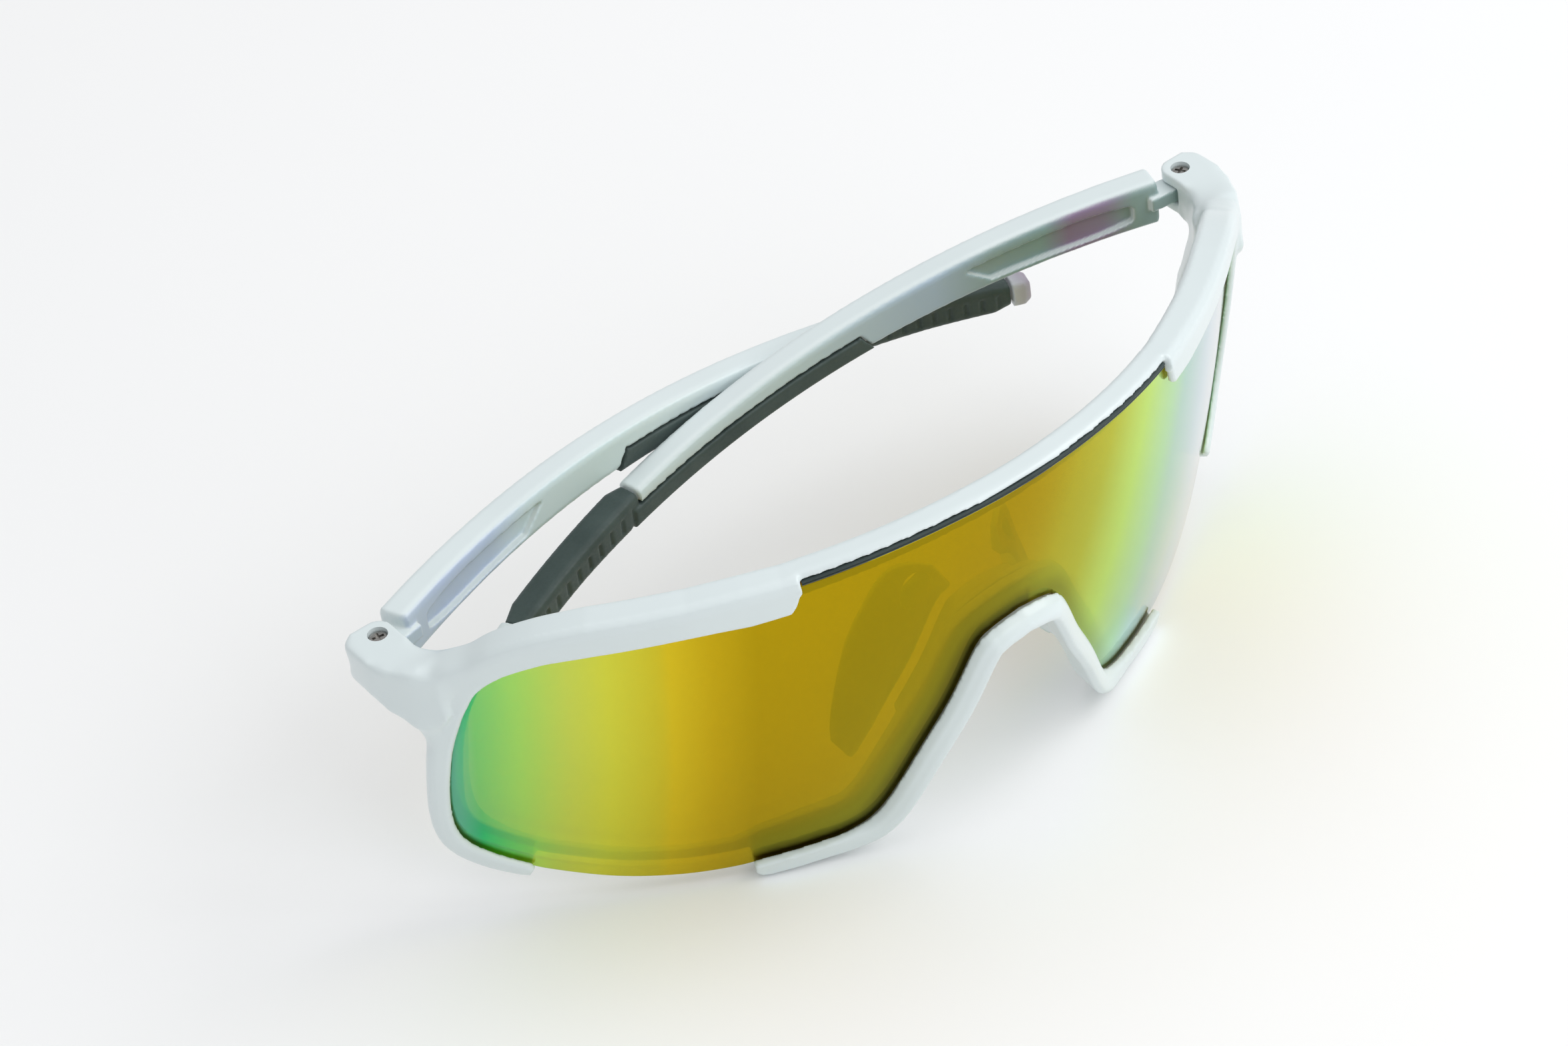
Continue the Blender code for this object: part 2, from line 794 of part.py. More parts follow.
def make_temple(side, hinge, white, rubber):
    """The arm and its rubber grip, in the hinge's own frame with the temple open."""
    turn = mirrored if side == "left" else (lambda mesh: mesh)
    arm = finish_mesh(turn(temple_arm_mesh()), f"temple_arm_{side}", hinge, white)
    low, high = tongue_height()
    for name, mesh in (("neck", tongue_mesh()), ("knuckle", cylinder(2.3, low, high))):
        combine(arm, finish_mesh(turn(mesh), f"{name}_{side}", hinge), "UNION")
    cuts = (
        ("screw_hole", cylinder(SHAFT_RADIUS + GAP, low - 1.0, high + 1.0)),
        ("pocket", pocket_mesh()),
        ("strip_recess", strip_mesh(GAP)),
    )
    for name, mesh in cuts:
        combine(arm, finish_mesh(turn(mesh), f"{name}_{side}", hinge), "DIFFERENCE")

    grip = finish_mesh(turn(sleeve_mesh()), f"temple_grip_{side}", hinge, rubber)
    bore = finish_mesh(turn(sleeve_bore_mesh()), f"sleeve_bore_{side}", hinge)
    combine(grip, bore, "DIFFERENCE")
    combine(grip, finish_mesh(turn(strip_mesh()), f"strip_{side}", hinge), "UNION")
    for k in range(RIB_COUNT):
        cut = finish_mesh(turn(rib_cut_mesh(k)), f"rib_{side}_{k}", hinge)
        combine(grip, cut, "DIFFERENCE")


# ---------------------------------------------------------------- hinge hardware


def cross_recess_mesh(width, top):
    """Two crossed slots, as one closed shape with twelve sides."""
    long, half = 0.72, width / 2
    corners = (
        (half, long),
        (half, half),
        (long, half),
        (long, -half),
        (half, -half),
        (half, -long),
        (-half, -long),
        (-half, -half),
        (-long, -half),
        (-long, half),
        (-half, half),
        (-half, long),
    )
    low = [Vector((x, y, top - 0.4)) for x, y in corners]
    high = [Vector((x, y, top + 0.4)) for x, y in corners]
    return loft([low[::-1], high[::-1]])


def make_hinge_hardware(side, hinge, steel, brass):
    head_top = LUG_TOP - 0.35
    head_low = LUG_TOP - 0.9
    shaft_low = LUG_BOTTOM + 0.75
    screw = finish_mesh(
        cylinder(SCREW_RADIUS, head_low, head_top, top_radius=SCREW_RADIUS - 0.12),
        f"hinge_screw_{side}",
        hinge,
        steel,
    )
    shaft = finish_mesh(
        cylinder(SHAFT_RADIUS, shaft_low, head_low + 0.2), f"screw_shaft_{side}", hinge
    )
    combine(screw, shaft, "UNION")
    recess = finish_mesh(cross_recess_mesh(0.34, head_top), f"recess_{side}", hinge)
    combine(screw, recess, "DIFFERENCE")

    low = LUG_BOTTOM + 0.35 + GAP
    high = LUG_BOTTOM + BOTTOM_PLATE
    insert = finish_mesh(
        cylinder(INSERT_RADIUS, low, high, segments=24), f"hinge_insert_{side}", hinge, brass
    )
    bore = finish_mesh(
        cylinder(SHAFT_RADIUS + GAP, low - 1.0, high + 1.0), f"insert_bore_{side}", hinge
    )
    combine(insert, bore, "DIFFERENCE")


def build():
    clear_scene()
    cutter_collection()
    white = material("white_frame", WHITE, 0.28)
    rubber = material("grip_rubber", RUBBER, 0.6)
    steel = material("screw_steel", STEEL, 0.3, 1.0)
    brass = material("insert_brass", BRASS, 0.35, 1.0)
    mirror_lens = material("mirror_lens", LENS_GOLD, 0.06, 0.8)
    silicone = material("pad_silicone", SILICONE, 0.45)

    root = empty("sunglasses", (0.0, -CENTRE_BACK, LIFT))
    make_front_frame(root, white)
    make_lens(root, mirror_lens)
    make_gasket(root, rubber)
    make_nose_carrier(root, white)
    finish_mesh(pad_mesh(), "nose_pad_left", root, silicone, smooth=True)
    finish_mesh(mirrored(pad_mesh()), "nose_pad_right", root, silicone, smooth=True)
    for side, x, fold in (("left", HINGE_X, FOLD_INNER), ("right", -HINGE_X, -FOLD_OUTER)):
        hinge = empty(f"hinge_{side}", (x, HINGE_Y, 0.0), fold, root)
        make_temple(side, hinge, white, rubber)
        fixed = empty(f"hinge_seat_{side}", (x, HINGE_Y, 0.0), 0.0, root)
        make_hinge_hardware(side, fixed, steel, brass)
    bpy.context.view_layer.update()


build()
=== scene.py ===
"""Folded shield sunglasses: shapes, looks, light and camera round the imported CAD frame.

Lengths are in millimetres of the row frame unless a comment says otherwise.
"""

import math

import bmesh
import bpy
import numpy as np
from mathutils import Matrix, Vector


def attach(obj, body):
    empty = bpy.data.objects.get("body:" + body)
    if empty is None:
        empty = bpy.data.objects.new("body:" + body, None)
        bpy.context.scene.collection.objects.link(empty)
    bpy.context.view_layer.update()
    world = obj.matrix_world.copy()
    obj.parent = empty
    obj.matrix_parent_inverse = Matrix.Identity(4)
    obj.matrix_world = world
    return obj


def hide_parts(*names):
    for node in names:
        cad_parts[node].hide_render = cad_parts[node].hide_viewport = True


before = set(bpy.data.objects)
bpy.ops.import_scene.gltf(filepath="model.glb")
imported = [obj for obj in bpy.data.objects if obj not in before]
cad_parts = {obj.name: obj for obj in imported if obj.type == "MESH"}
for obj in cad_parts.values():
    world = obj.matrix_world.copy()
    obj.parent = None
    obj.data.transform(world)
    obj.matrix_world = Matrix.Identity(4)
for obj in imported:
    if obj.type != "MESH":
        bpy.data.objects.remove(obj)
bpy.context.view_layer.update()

MM = 0.001
GAP = 0.3  # between neighbouring parts
# The lens frame's place in the row frame, in millimetres.
SHIFT = np.array([0.0, -33.595, 52.33])

# ---------------------------------------------------------------- lens surface

# The front face is y = x^2 / (2 RADIUS) - TILT z + BARREL z^2.
LENS_RADIUS = 65.1
LENS_TILT = 0.1231
LENS_BARREL = 0.00178
LENS_THICKNESS = 1.6
SEAT = LENS_THICKNESS + GAP  # depth of the ledge that the lens sits against

# Half of the lens's edge: x, z, then the frame's reach outside it, the rim's width
# behind it, how far back the frame goes and how much lens the front lip covers.
LENS_EDGE = np.array(
    (
        (0.0, 6.3, 1.8, 3.8, 3.4, 0.0),
        (8.0, 6.2, 1.8, 3.8, 3.4, 0.0),
        (15.0, 5.8, 1.8, 3.8, 3.4, 0.0),
        (22.0, 5.1, 1.9, 3.8, 3.4, 0.0),
        (28.4, 4.3, 2.0, 3.8, 3.4, 0.0),
        (30.0, 4.05, 2.05, 3.8, 3.4, 0.6),
        (31.6, 3.8, 2.1, 3.8, 3.4, 3.4),
        (36.0, 3.0, 2.5, 3.8, 3.5, 3.2),
        (42.0, 1.9, 2.7, 3.6, 3.6, 2.4),
        (52.0, -0.4, 3.6, 3.4, 3.8, 1.4),
        (57.0, -1.9, 3.7, 3.2, 3.8, 0.9),
        (61.0, -3.9, 3.6, 2.8, 3.8, 0.9),
        (63.8, -6.5, 3.3, 2.7, 3.8, 1.3),
        (65.3, -9.8, 3.1, 2.6, 4.4, 1.6),
        (66.3, -14.2, 2.6, 2.5, 5.6, 1.5),
        (67.0, -20.0, 2.3, 2.4, 6.6, 1.2),
        (67.3, -27.0, 2.2, 2.4, 6.8, 1.0),
        (67.2, -33.0, 2.2, 2.4, 6.2, 1.0),
        (66.5, -37.2, 2.3, 2.5, 5.0, 1.0),
        (65.0, -40.1, 2.3, 2.7, 4.0, 1.0),
        (62.5, -42.5, 2.2, 2.8, 3.4, 1.0),
        (59.6, -44.6, 1.7, 2.8, 3.2, 1.1),
        (57.0, -46.1, -0.8, 3.0, 3.2, 0.0),
        (50.3, -48.7, -0.8, 3.0, 3.2, 0.0),
        (43.4, -50.0, -0.8, 3.0, 3.2, 0.0),
        (37.0, -50.2, -0.8, 3.2, 3.3, 0.0),
        (33.1, -49.7, 2.4, 4.4, 3.4, 1.0),
        (28.0, -49.2, 2.5, 5.0, 3.5, 1.0),
        (22.8, -48.2, 2.6, 5.0, 3.6, 1.0),
        (18.8, -44.9, 2.8, 4.6, 3.6, 1.0),
        (14.0, -34.5, 2.9, 4.3, 3.7, 1.0),
        (10.4, -27.2, 2.9, 4.0, 3.7, 1.0),
        (6.9, -18.9, 2.9, 3.6, 3.7, 1.0),
        (4.2, -16.9, 2.7, 3.2, 3.7, 1.0),
        (0.0, -16.1, 2.6, 3.0, 3.7, 1.0),
    )
)
LAST = len(LENS_EDGE) - 1
# Where each kind of rim ends, as a row number of LENS_EDGE.
CAP_END = 4.8
SIDE_LIP_END = 21.3
NOSE_LIP_START = 25.55
# How far the front lips stand in front of the lens.
LIP_PROUD = 1.25
NOSE_PROUD = 1.5
LEAST_LIP = 0.6
END_WALL = GAP + 0.3  # the end wall's reach outside the lens edge


def fade(value, start, stop):
    """0 up to start and 1 from stop on; stop may be the lower of the two."""
    return np.clip((value - start) / (stop - start), 0, 1)


def eased(share):
    """A share from 0 to 1 with a gentle start and end."""
    return share * share * (3 - 2 * share)


def across(x):
    """Distance along the lens from its middle to x, over the parabola."""
    slope = x / LENS_RADIUS
    return 0.5 * (x * np.sqrt(1 + slope * slope) + LENS_RADIUS * np.arcsinh(slope))


ACROSS_X = np.linspace(-85.0, 85.0, 3401)
ACROSS_U = across(ACROSS_X)


def on_lens(u, z, depth):
    """Points at (u, z) on the unrolled lens, depth behind its front face, in mm."""
    u, z, depth = np.broadcast_arrays(
        np.asarray(u, float), np.asarray(z, float), np.asarray(depth, float)
    )
    x = np.interp(u, ACROSS_U, ACROSS_X)
    y = x * x / (2 * LENS_RADIUS) - LENS_TILT * z + LENS_BARREL * z * z
    back = np.stack([-x / LENS_RADIUS, np.ones_like(x), LENS_TILT - 2 * LENS_BARREL * z], -1)
    back /= np.linalg.norm(back, axis=-1, keepdims=True)
    return np.stack([x, y, z], -1) + depth[..., None] * back + SHIFT


def curve_through(rows, t):
    """The point at t on a Catmull-Rom curve that passes through row k at t = k."""
    k = min(int(t), len(rows) - 2)
    f = t - k
    b, c = rows[k], rows[k + 1]
    a = rows[k - 1] if k else 2 * b - c
    d = rows[k + 2] if k + 2 < len(rows) else 2 * c - b
    return 0.5 * (
        2 * b + (c - a) * f + (2 * a - 5 * b + 4 * c - d) * f**2 + (3 * b - a - 3 * c + d) * f**3
    )


def edge_point(t):
    """(u, z) on the lens edge, also past both ends of the half."""
    if t < 0 or t > LAST:
        u, z = edge_point(-t if t < 0 else 2 * LAST - t)
        return np.array([-u, z])
    x, z = curve_through(LENS_EDGE[:, :2], t)
    return np.array([np.interp(x, ACROSS_X, ACROSS_U), z])


def edge_outward(t, ease):
    """The direction away from the lens at t, taken over t - ease to t + ease."""
    along = edge_point(t + ease) - edge_point(t - ease)
    along /= np.linalg.norm(along)
    return np.array([-along[1], along[0]])


def edge_widths(t):
    """Outer reach, rim width, back depth and lip reach at t."""
    return [float(np.interp(t, np.arange(LAST + 1), LENS_EDGE[:, i])) for i in (2, 3, 4, 5)]


NEAR_EASE, FAR_EASE = 0.5, 1.3
FAR_INSIDE = -1.5


def edge_ring(t, profile):
    """A profile of (outward, depth) points, placed on the lens edge at t.

    Points far inside the edge follow its direction more slowly, so rings don't cross.
    """
    point = edge_point(t)
    near, far = edge_outward(t, NEAR_EASE), edge_outward(t, FAR_EASE)
    q, depth = np.array(profile).T
    out = np.where((q < FAR_INSIDE)[:, None], far, near)
    flat = point + q[:, None] * out
    return on_lens(flat[:, 0], flat[:, 1], depth)


# ---------------------------------------------------------------- mesh helpers

WELD = 0.01
INWARD, REGAIN = 0.5, 0.53  # a smoothing round's two steps, as shares of the pull


def mesh_object(name, points, faces):
    """An object from points in millimetres of the row frame."""
    data = bpy.data.meshes.new(name)
    data.from_pydata((np.asarray(points) * MM).tolist(), [], [list(f) for f in faces])
    data.validate()
    made = bpy.data.objects.new(name, data)
    bpy.context.scene.collection.objects.link(made)
    return made


def loft(name, rings, loop=False):
    """A solid through rings of points, closed on itself if loop is true."""
    rings = np.array(rings, float)
    rows, count = rings.shape[:2]
    faces = []
    for i in range(rows if loop else rows - 1):
        a, b = i * count, (i + 1) % rows * count
        for j in range(count):
            k = (j + 1) % count
            faces.append((a + j, a + k, b + k, b + j))
    if not loop:
        faces.append(range(count - 1, -1, -1))
        faces.append(range((rows - 1) * count, rows * count))
    made = mesh_object(name, rings.reshape(-1, 3), faces)
    outward(made)
    return made


def outward(obj):
    """Turns every face to look out."""
    mesh = bmesh.new()
    mesh.from_mesh(obj.data)
    bmesh.ops.recalc_face_normals(mesh, faces=mesh.faces)
    mesh.to_mesh(obj.data)
    mesh.free()


def mirror_copy(obj, name):
    """The object turned over the centre plane."""
    made = obj.copy()
    made.name = name
    made.data = obj.data.copy()
    bpy.context.scene.collection.objects.link(made)
    made.data.transform(Matrix.Diagonal((-1, 1, 1, 1)))
    made.data.flip_normals()
    return made


def join(name, objects):
    """One object that holds the meshes of all, which are removed."""
    mesh = bmesh.new()
    for obj in objects:
        mesh.from_mesh(obj.data)
    data = bpy.data.meshes.new(name)
    mesh.to_mesh(data)
    mesh.free()
    for obj in objects:
        bpy.data.objects.remove(obj)
    made = bpy.data.objects.new(name, data)
    bpy.context.scene.collection.objects.link(made)
    return made


def apply_modifiers(obj):
    """Replaces the object's mesh with its evaluated one and drops the modifiers."""
    graph = bpy.context.evaluated_depsgraph_get()
    data = bpy.data.meshes.new_from_object(obj.evaluated_get(graph))
    obj.modifiers.clear()
    obj.data = data
    return obj


def remesh(obj, voxel):
    """Rebuilds the surface from cubes, which also merges shells that overlap."""
    modifier = obj.modifiers.new("voxels", "REMESH")
    modifier.mode = "VOXEL"
    modifier.voxel_size = voxel * MM
    return apply_modifiers(obj)


def edge_ends(data):
    """The two vertex numbers of each edge."""
    found = np.empty(len(data.edges) * 2, np.int32)
    data.edges.foreach_get("vertices", found)
    return found.reshape(-1, 2)


def coordinates(data):
    """Every vertex's place, in metres."""
    found = np.empty(len(data.vertices) * 3, np.float32)
    data.vertices.foreach_get("co", found)
    return found.reshape(-1, 3).astype(float)


def vertex_normals(data):
    """Every vertex's normal."""
    found = np.empty(len(data.vertices) * 3, np.float32)
    data.vertices.foreach_get("normal", found)
    return found.reshape(-1, 3)


def set_coordinates(data, points):
    """Moves every vertex to its point, in metres."""
    data.vertices.foreach_set("co", points.astype(np.float32).ravel())
    data.update()


def neighbour_pull(points, a, b, count):
    """From each point to the mean of its neighbours, with a and b the edges' ends."""
    total = np.zeros_like(points)
    for axis in range(3):
        total[:, axis] = np.bincount(a, points[b, axis], len(points))
        total[:, axis] += np.bincount(b, points[a, axis], len(points))
    return total / np.maximum(count, 1)[:, None] - points


def neighbour_count(size, a, b):
    """How many neighbours each of size points has."""
    return np.bincount(a, minlength=size) + np.bincount(b, minlength=size)


def relax(obj, rounds, regain=REGAIN, where=None):
    """Smooths a mesh: each round takes an inward step, then one back out by regain."""
    points = coordinates(obj.data)
    a, b = edge_ends(obj.data).T
    count = neighbour_count(len(points), a, b)
    weight = np.ones(len(points)) if where is None else where(points / MM)
    for _ in range(rounds):
        for step in (INWARD, -regain):
            pull = neighbour_pull(points, a, b, count)
            points = points + step * weight[:, None] * pull
    set_coordinates(obj.data, points)
    return obj


def cut(obj, cutter):
    """Takes the cutter's volume out of the object and removes the cutter."""
    modifier = obj.modifiers.new("cut", "BOOLEAN")
    modifier.operation = "DIFFERENCE"
    modifier.solver = "EXACT"
    modifier.object = cutter
    apply_modifiers(obj)
    bpy.data.objects.remove(cutter)
    return obj


def smooth_shade(obj, angle=None):
    """Shades smooth, apart from edges sharper than angle, in degrees."""
    obj.data.polygons.foreach_set("use_smooth", [True] * len(obj.data.polygons))
    if angle is not None:
        obj.data.set_sharp_from_angle(angle=math.radians(angle))
    obj.data.update()
    return obj


def soften(obj, keep):
    """Shades smooth over every sharp edge but those where `keep` is true."""
    data = obj.data
    kept = keep(coordinates(data) / MM)[edge_ends(data)].all(1)
    sharp = np.empty(len(data.edges), bool)
    data.edges.foreach_get("use_edge_sharp", sharp)
    data.edges.foreach_set("use_edge_sharp", sharp & kept)
    data.update()
    return obj


def lathe(name, profile, centre, segments=64):
    """A solid of revolution about Z at the centre, from (radius, z) points."""
    angle = np.linspace(0, 2 * np.pi, segments, endpoint=False)
    rings = []
    for radius, z in profile:
        x = centre[0] + radius * np.cos(angle)
        y = centre[1] + radius * np.sin(angle)
        rings.append(np.stack([x, y, np.full(segments, z)], -1) + SHIFT)
    return loft(name, rings)


def copy_node(node, name):
    """A free copy of a CAD node's mesh."""
    made = bpy.data.objects.new(name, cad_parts[node].data.copy())
    made.data.materials.clear()
    bpy.context.scene.collection.objects.link(made)
    return made


def welded(obj):
    """Joins the vertices that lie on each other."""
    mesh = bmesh.new()
    mesh.from_mesh(obj.data)
    bmesh.ops.remove_doubles(mesh, verts=mesh.verts, dist=WELD * MM)
    mesh.to_mesh(obj.data)
    mesh.free()
    return obj


def settle(obj, body, node, look):
    """Rides the piece, hides the CAD node that it stands for and gives it its look."""
    obj.data.materials.clear()
    for material in look if isinstance(look, (list, tuple)) else [look]:
        obj.data.materials.append(material)
    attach(obj, body)
    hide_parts(node)
    return obj


# ---------------------------------------------------------------- materials


def new_material(name):
    """A material, its nodes and links, and its Principled shader."""
    made = bpy.data.materials.new(name)
    made.use_nodes = True
    nodes = made.node_tree.nodes
    return made, nodes, made.node_tree.links, nodes["Principled BSDF"]


def set_inputs(node, values):
    """Sets a node's inputs by name."""
    for name, value in values.items():
        node.inputs[name].default_value = value


def feed(links, value, socket):
    """Links a socket to another one, or sets it to a number or an RGB colour."""
    if isinstance(value, bpy.types.NodeSocket):
        links.new(value, socket)
    else:
        socket.default_value = (*value, 1.0) if isinstance(value, tuple) else value


def object_x(nodes, links):
    """X in object space, in metres."""
    place = nodes.new("ShaderNodeTexCoord")
    split = nodes.new("ShaderNodeSeparateXYZ")
    links.new(place.outputs["Object"], split.inputs["Vector"])
    return split.outputs["X"]


def noise(nodes, links, scale, detail=3.0, roughness=0.55, stretch=None):
    """A noise in object space, with scale in cycles a metre."""
    source = nodes.new("ShaderNodeTexCoord").outputs["Object"]
    if stretch:
        mapping = nodes.new("ShaderNodeMapping")
        mapping.inputs["Scale"].default_value = stretch
        links.new(source, mapping.inputs["Vector"])
        source = mapping.outputs["Vector"]
    made = nodes.new("ShaderNodeTexNoise")
    set_inputs(made, {"Scale": scale, "Detail": detail, "Roughness": roughness})
    links.new(source, made.inputs["Vector"])
    return made.outputs["Fac"]


def ramp(nodes, links, value, stops):
    """Colour by value, from (position, colour) stops."""
    made = nodes.new("ShaderNodeValToRGB")
    points = made.color_ramp.elements
    while len(points) < len(stops):
        points.new(1.0)
    for point, (position, colour) in zip(points, stops):
        point.position = position
        point.color = (*colour, 1.0)
    links.new(value, made.inputs["Fac"])
    return made.outputs["Color"]


def between(nodes, links, value, low, high, new_low, new_high):
    """The value moved from low..high to new_low..new_high, and kept inside it."""
    made = nodes.new("ShaderNodeMapRange")
    set_inputs(made, {"From Min": low, "From Max": high, "To Min": new_low, "To Max": new_high})
    links.new(value, made.inputs["Value"])
    return made.outputs["Result"]


def bump(nodes, links, shader, height, distance, strength):
    """Relief from a height, with distance in metres."""
    made = nodes.new("ShaderNodeBump")
    set_inputs(made, {"Distance": distance, "Strength": strength})
    links.new(height, made.inputs["Height"])
    links.new(made.outputs["Normal"], shader.inputs["Normal"])


def drift(nodes, links, shader, cloud, low, high, full=0.7):
    """Base colour that drifts from low to high with a noise."""
    colour = ramp(nodes, links, cloud, ((0.3, low), (full, high)))
    links.new(colour, shader.inputs["Base Color"])


def gloss(nodes, links, shader, speckle, low, high, start=0.3, full=0.7):
    """Roughness that goes from low to high with a noise."""
    rough = between(nodes, links, speckle, start, full, low, high)
    links.new(rough, shader.inputs["Roughness"])


def mix_colour(nodes, links, factor, a, b):
    """Colour a at factor 0 and b at factor 1; each is a socket or a colour."""
    made = nodes.new("ShaderNodeMix")
    made.data_type = "RGBA"
    links.new(factor, made.inputs[0])
    feed(links, a, made.inputs[6])
    feed(links, b, made.inputs[7])
    return made.outputs[2]


def see_through(nodes, links, shader, tint, coverage):
    """Lets tinted light through where the coverage, a socket or a number, is under 1."""
    clear = nodes.new("ShaderNodeBsdfTransparent")
    feed(links, tint, clear.inputs["Color"])
    blend = nodes.new("ShaderNodeMixShader")
    feed(links, coverage, blend.inputs["Fac"])
    links.new(clear.outputs["BSDF"], blend.inputs[1])
    links.new(shader.outputs["BSDF"], blend.inputs[2])
    links.new(blend.outputs["Shader"], nodes["Material Output"].inputs["Surface"])


PAINTED_LIGHT_HALF_SPAN = 75.0


def white_plastic(name, low, high, tint=None):
    """Satin moulded plastic. tint is stops of painted shade and painted reflections along X, for
    the inner face.
    """
    made, nodes, links, shader = new_material(name)
    cloud = noise(nodes, links, 45.0, 2.0)
    colour = ramp(nodes, links, cloud, ((0.3, low), (0.7, high)))
    if tint:
        # The inner face is mixed towards painted shade and painted reflections of the lens's
        # colours.
        half = PAINTED_LIGHT_HALF_SPAN * MM
        along = between(nodes, links, object_x(nodes, links), -half, half, 0.0, 1.0)
        stops = [(0.5 + 0.5 * x / PAINTED_LIGHT_HALF_SPAN, hue) for x, hue in tint]
        inner = nodes.new("ShaderNodeAttribute")
        inner.attribute_name = "inner_painted_light"
        painted_light_colour = ramp(nodes, links, along, stops)
        colour = mix_colour(nodes, links, inner.outputs["Fac"], colour, painted_light_colour)
    links.new(colour, shader.inputs["Base Color"])
    gloss(nodes, links, shader, noise(nodes, links, 1500.0), 0.28, 0.34)
    set_inputs(shader, {"Specular IOR Level": 0.5, "Coat Weight": 0.2, "Coat Roughness": 0.2})
    bump(nodes, links, shader, noise(nodes, links, 900.0, 2.0), 0.000012, 0.08)
    return made


def rubber(name, low, high):
    """Dull soft rubber with a fine grain."""
    made, nodes, links, shader = new_material(name)
    drift(nodes, links, shader, noise(nodes, links, 120.0, 4.0, 0.6), low, high, full=0.72)
    gloss(nodes, links, shader, noise(nodes, links, 2600.0), 0.46, 0.66)
    set_inputs(shader, {"Specular IOR Level": 0.42, "Sheen Weight": 0.12, "Sheen Roughness": 0.4})
    bump(nodes, links, shader, noise(nodes, links, 3800.0, 3.0, 0.6), 0.00004, 0.3)
    return made


def metal(name, low, high, rough, stretch):
    """Turned metal, with its fine lines along the stretch."""
    made, nodes, links, shader = new_material(name)
    drift(nodes, links, shader, noise(nodes, links, 900.0, 3.0, 0.6), low, high)
    set_inputs(shader, {"Metallic": 1.0})
    lines = noise(nodes, links, 5000.0, 2.0, 0.5, stretch=stretch)
    gloss(nodes, links, shader, lines, *rough)
    bump(nodes, links, shader, lines, 0.00001, 0.25)
    return made


def silicone(name):
    """Milky soft silicone."""
    made, nodes, links, shader = new_material(name)
    cloud = noise(nodes, links, 160.0)
    drift(nodes, links, shader, cloud, (0.60, 0.70, 0.68), (0.68, 0.78, 0.76))
    set_inputs(shader, {"Subsurface Weight": 0.35, "Subsurface Scale": 1.0})
    set_inputs(shader, {"Subsurface Radius": (0.0018, 0.002, 0.002)})
    gloss(nodes, links, shader, noise(nodes, links, 1800.0), 0.34, 0.5)
    bump(nodes, links, shader, noise(nodes, links, 2600.0, 3.0), 0.00003, 0.2)
    return made


MIRROR_SPAN = 70.0
# Mirror colour from the lens's middle to its end, by distance from the centre line
# as a share of the span.
# The quick step from 0.635 to 0.65 is a painted reflection edge.
MIRROR_STOPS = (
    (0.00, (0.450, 0.387, 0.009)),
    (0.50, (0.468, 0.405, 0.009)),
    (0.57, (0.630, 0.540, 0.018)),
    (0.635, (0.792, 0.738, 0.036)),
    (0.650, (0.702, 0.756, 0.054)),
    (0.729, (0.739, 0.960, 0.115)),
    (0.786, (0.614, 0.960, 0.192)),
    (0.857, (0.310, 1.000, 0.270)),
    (0.914, (0.050, 0.860, 0.340)),
    (0.943, (0.220, 0.840, 0.560)),
)
# Mirror colour where it is seen more and more along the surface, by 1 - cosine.
GRAZING_STOPS = (
    (0.45, (0.520, 0.450, 0.010)),
    (0.60, (0.550, 0.680, 0.050)),
    (0.68, (0.600, 1.000, 0.200)),
    (0.76, (0.488, 0.920, 0.515)),
    (0.80, (0.454, 0.781, 0.706)),
    (0.88, (0.605, 0.748, 0.840)),
    (0.95, (0.756, 0.798, 0.840)),
)


def mirror_lens(name):
    """Tinted lens front: a coloured mirror over a clear tinted body."""
    made, nodes, links, shader = new_material(name)
    side = nodes.new("ShaderNodeMath")
    side.operation = "ABSOLUTE"
    links.new(object_x(nodes, links), side.inputs[0])
    waver = noise(nodes, links, 30.0, 2.0)
    share = between(nodes, links, side.outputs["Value"], 0.0, MIRROR_SPAN * MM, 0.0, 1.0)
    sway = between(nodes, links, waver, 0.3, 0.7, -0.004, 0.004)
    total = nodes.new("ShaderNodeMath")
    total.operation = "ADD"
    links.new(share, total.inputs[0])
    links.new(sway, total.inputs[1])
    colour = ramp(nodes, links, total.outputs["Value"], MIRROR_STOPS)
    facing = nodes.new("ShaderNodeLayerWeight")
    facing.inputs["Blend"].default_value = 0.5
    sheen = ramp(nodes, links, facing.outputs["Facing"], GRAZING_STOPS)
    turned = between(nodes, links, facing.outputs["Facing"], 0.45, 0.54, 0.0, 1.0)
    colour = mix_colour(nodes, links, turned, colour, sheen)
    shade = nodes.new("ShaderNodeAttribute")
    shade.attribute_name = "rim_shade"
    dark = mix_colour(nodes, links, shade.outputs["Fac"], colour, (0.06, 0.048, 0.004))
    links.new(dark, shader.inputs["Base Color"])
    set_inputs(shader, {"Metallic": 1.0})
    smudge = noise(nodes, links, 160.0, 5.0, 0.65)
    gloss(nodes, links, shader, smudge, 0.05, 0.13, start=0.35, full=0.75)
    bump(nodes, links, shader, noise(nodes, links, 60.0, 2.0), 0.00002, 0.05)
    fac = shade.outputs["Fac"]
    body = mix_colour(nodes, links, fac, (0.90, 0.64, 0.020), (0.16, 0.13, 0.008))
    coverage = between(nodes, links, facing.outputs["Facing"], 0.5, 0.9, 0.5, 0.9)
    see_through(nodes, links, shader, body, coverage)
    return made


def lens_back(name):
    """The lens's inner face: smoky gloss that lets light through."""
    made, nodes, links, shader = new_material(name)
    cloud = noise(nodes, links, 60.0)
    drift(nodes, links, shader, cloud, (0.03, 0.028, 0.02), (0.05, 0.045, 0.03))
    smudge = noise(nodes, links, 200.0, 5.0, 0.65)
    gloss(nodes, links, shader, smudge, 0.04, 0.14, start=0.35, full=0.75)
    see_through(nodes, links, shader, (0.94, 0.94, 0.93), 0.12)
    return made


def lens_edge(name):
    """The lens's cut edge, where the tinted body shows bright gold-green."""
    made, nodes, links, shader = new_material(name)
    cloud = noise(nodes, links, 300.0)
    drift(nodes, links, shader, cloud, (0.50, 0.42, 0.02), (0.62, 0.55, 0.05))
    gloss(nodes, links, shader, noise(nodes, links, 900.0), 0.15, 0.3)
    return made


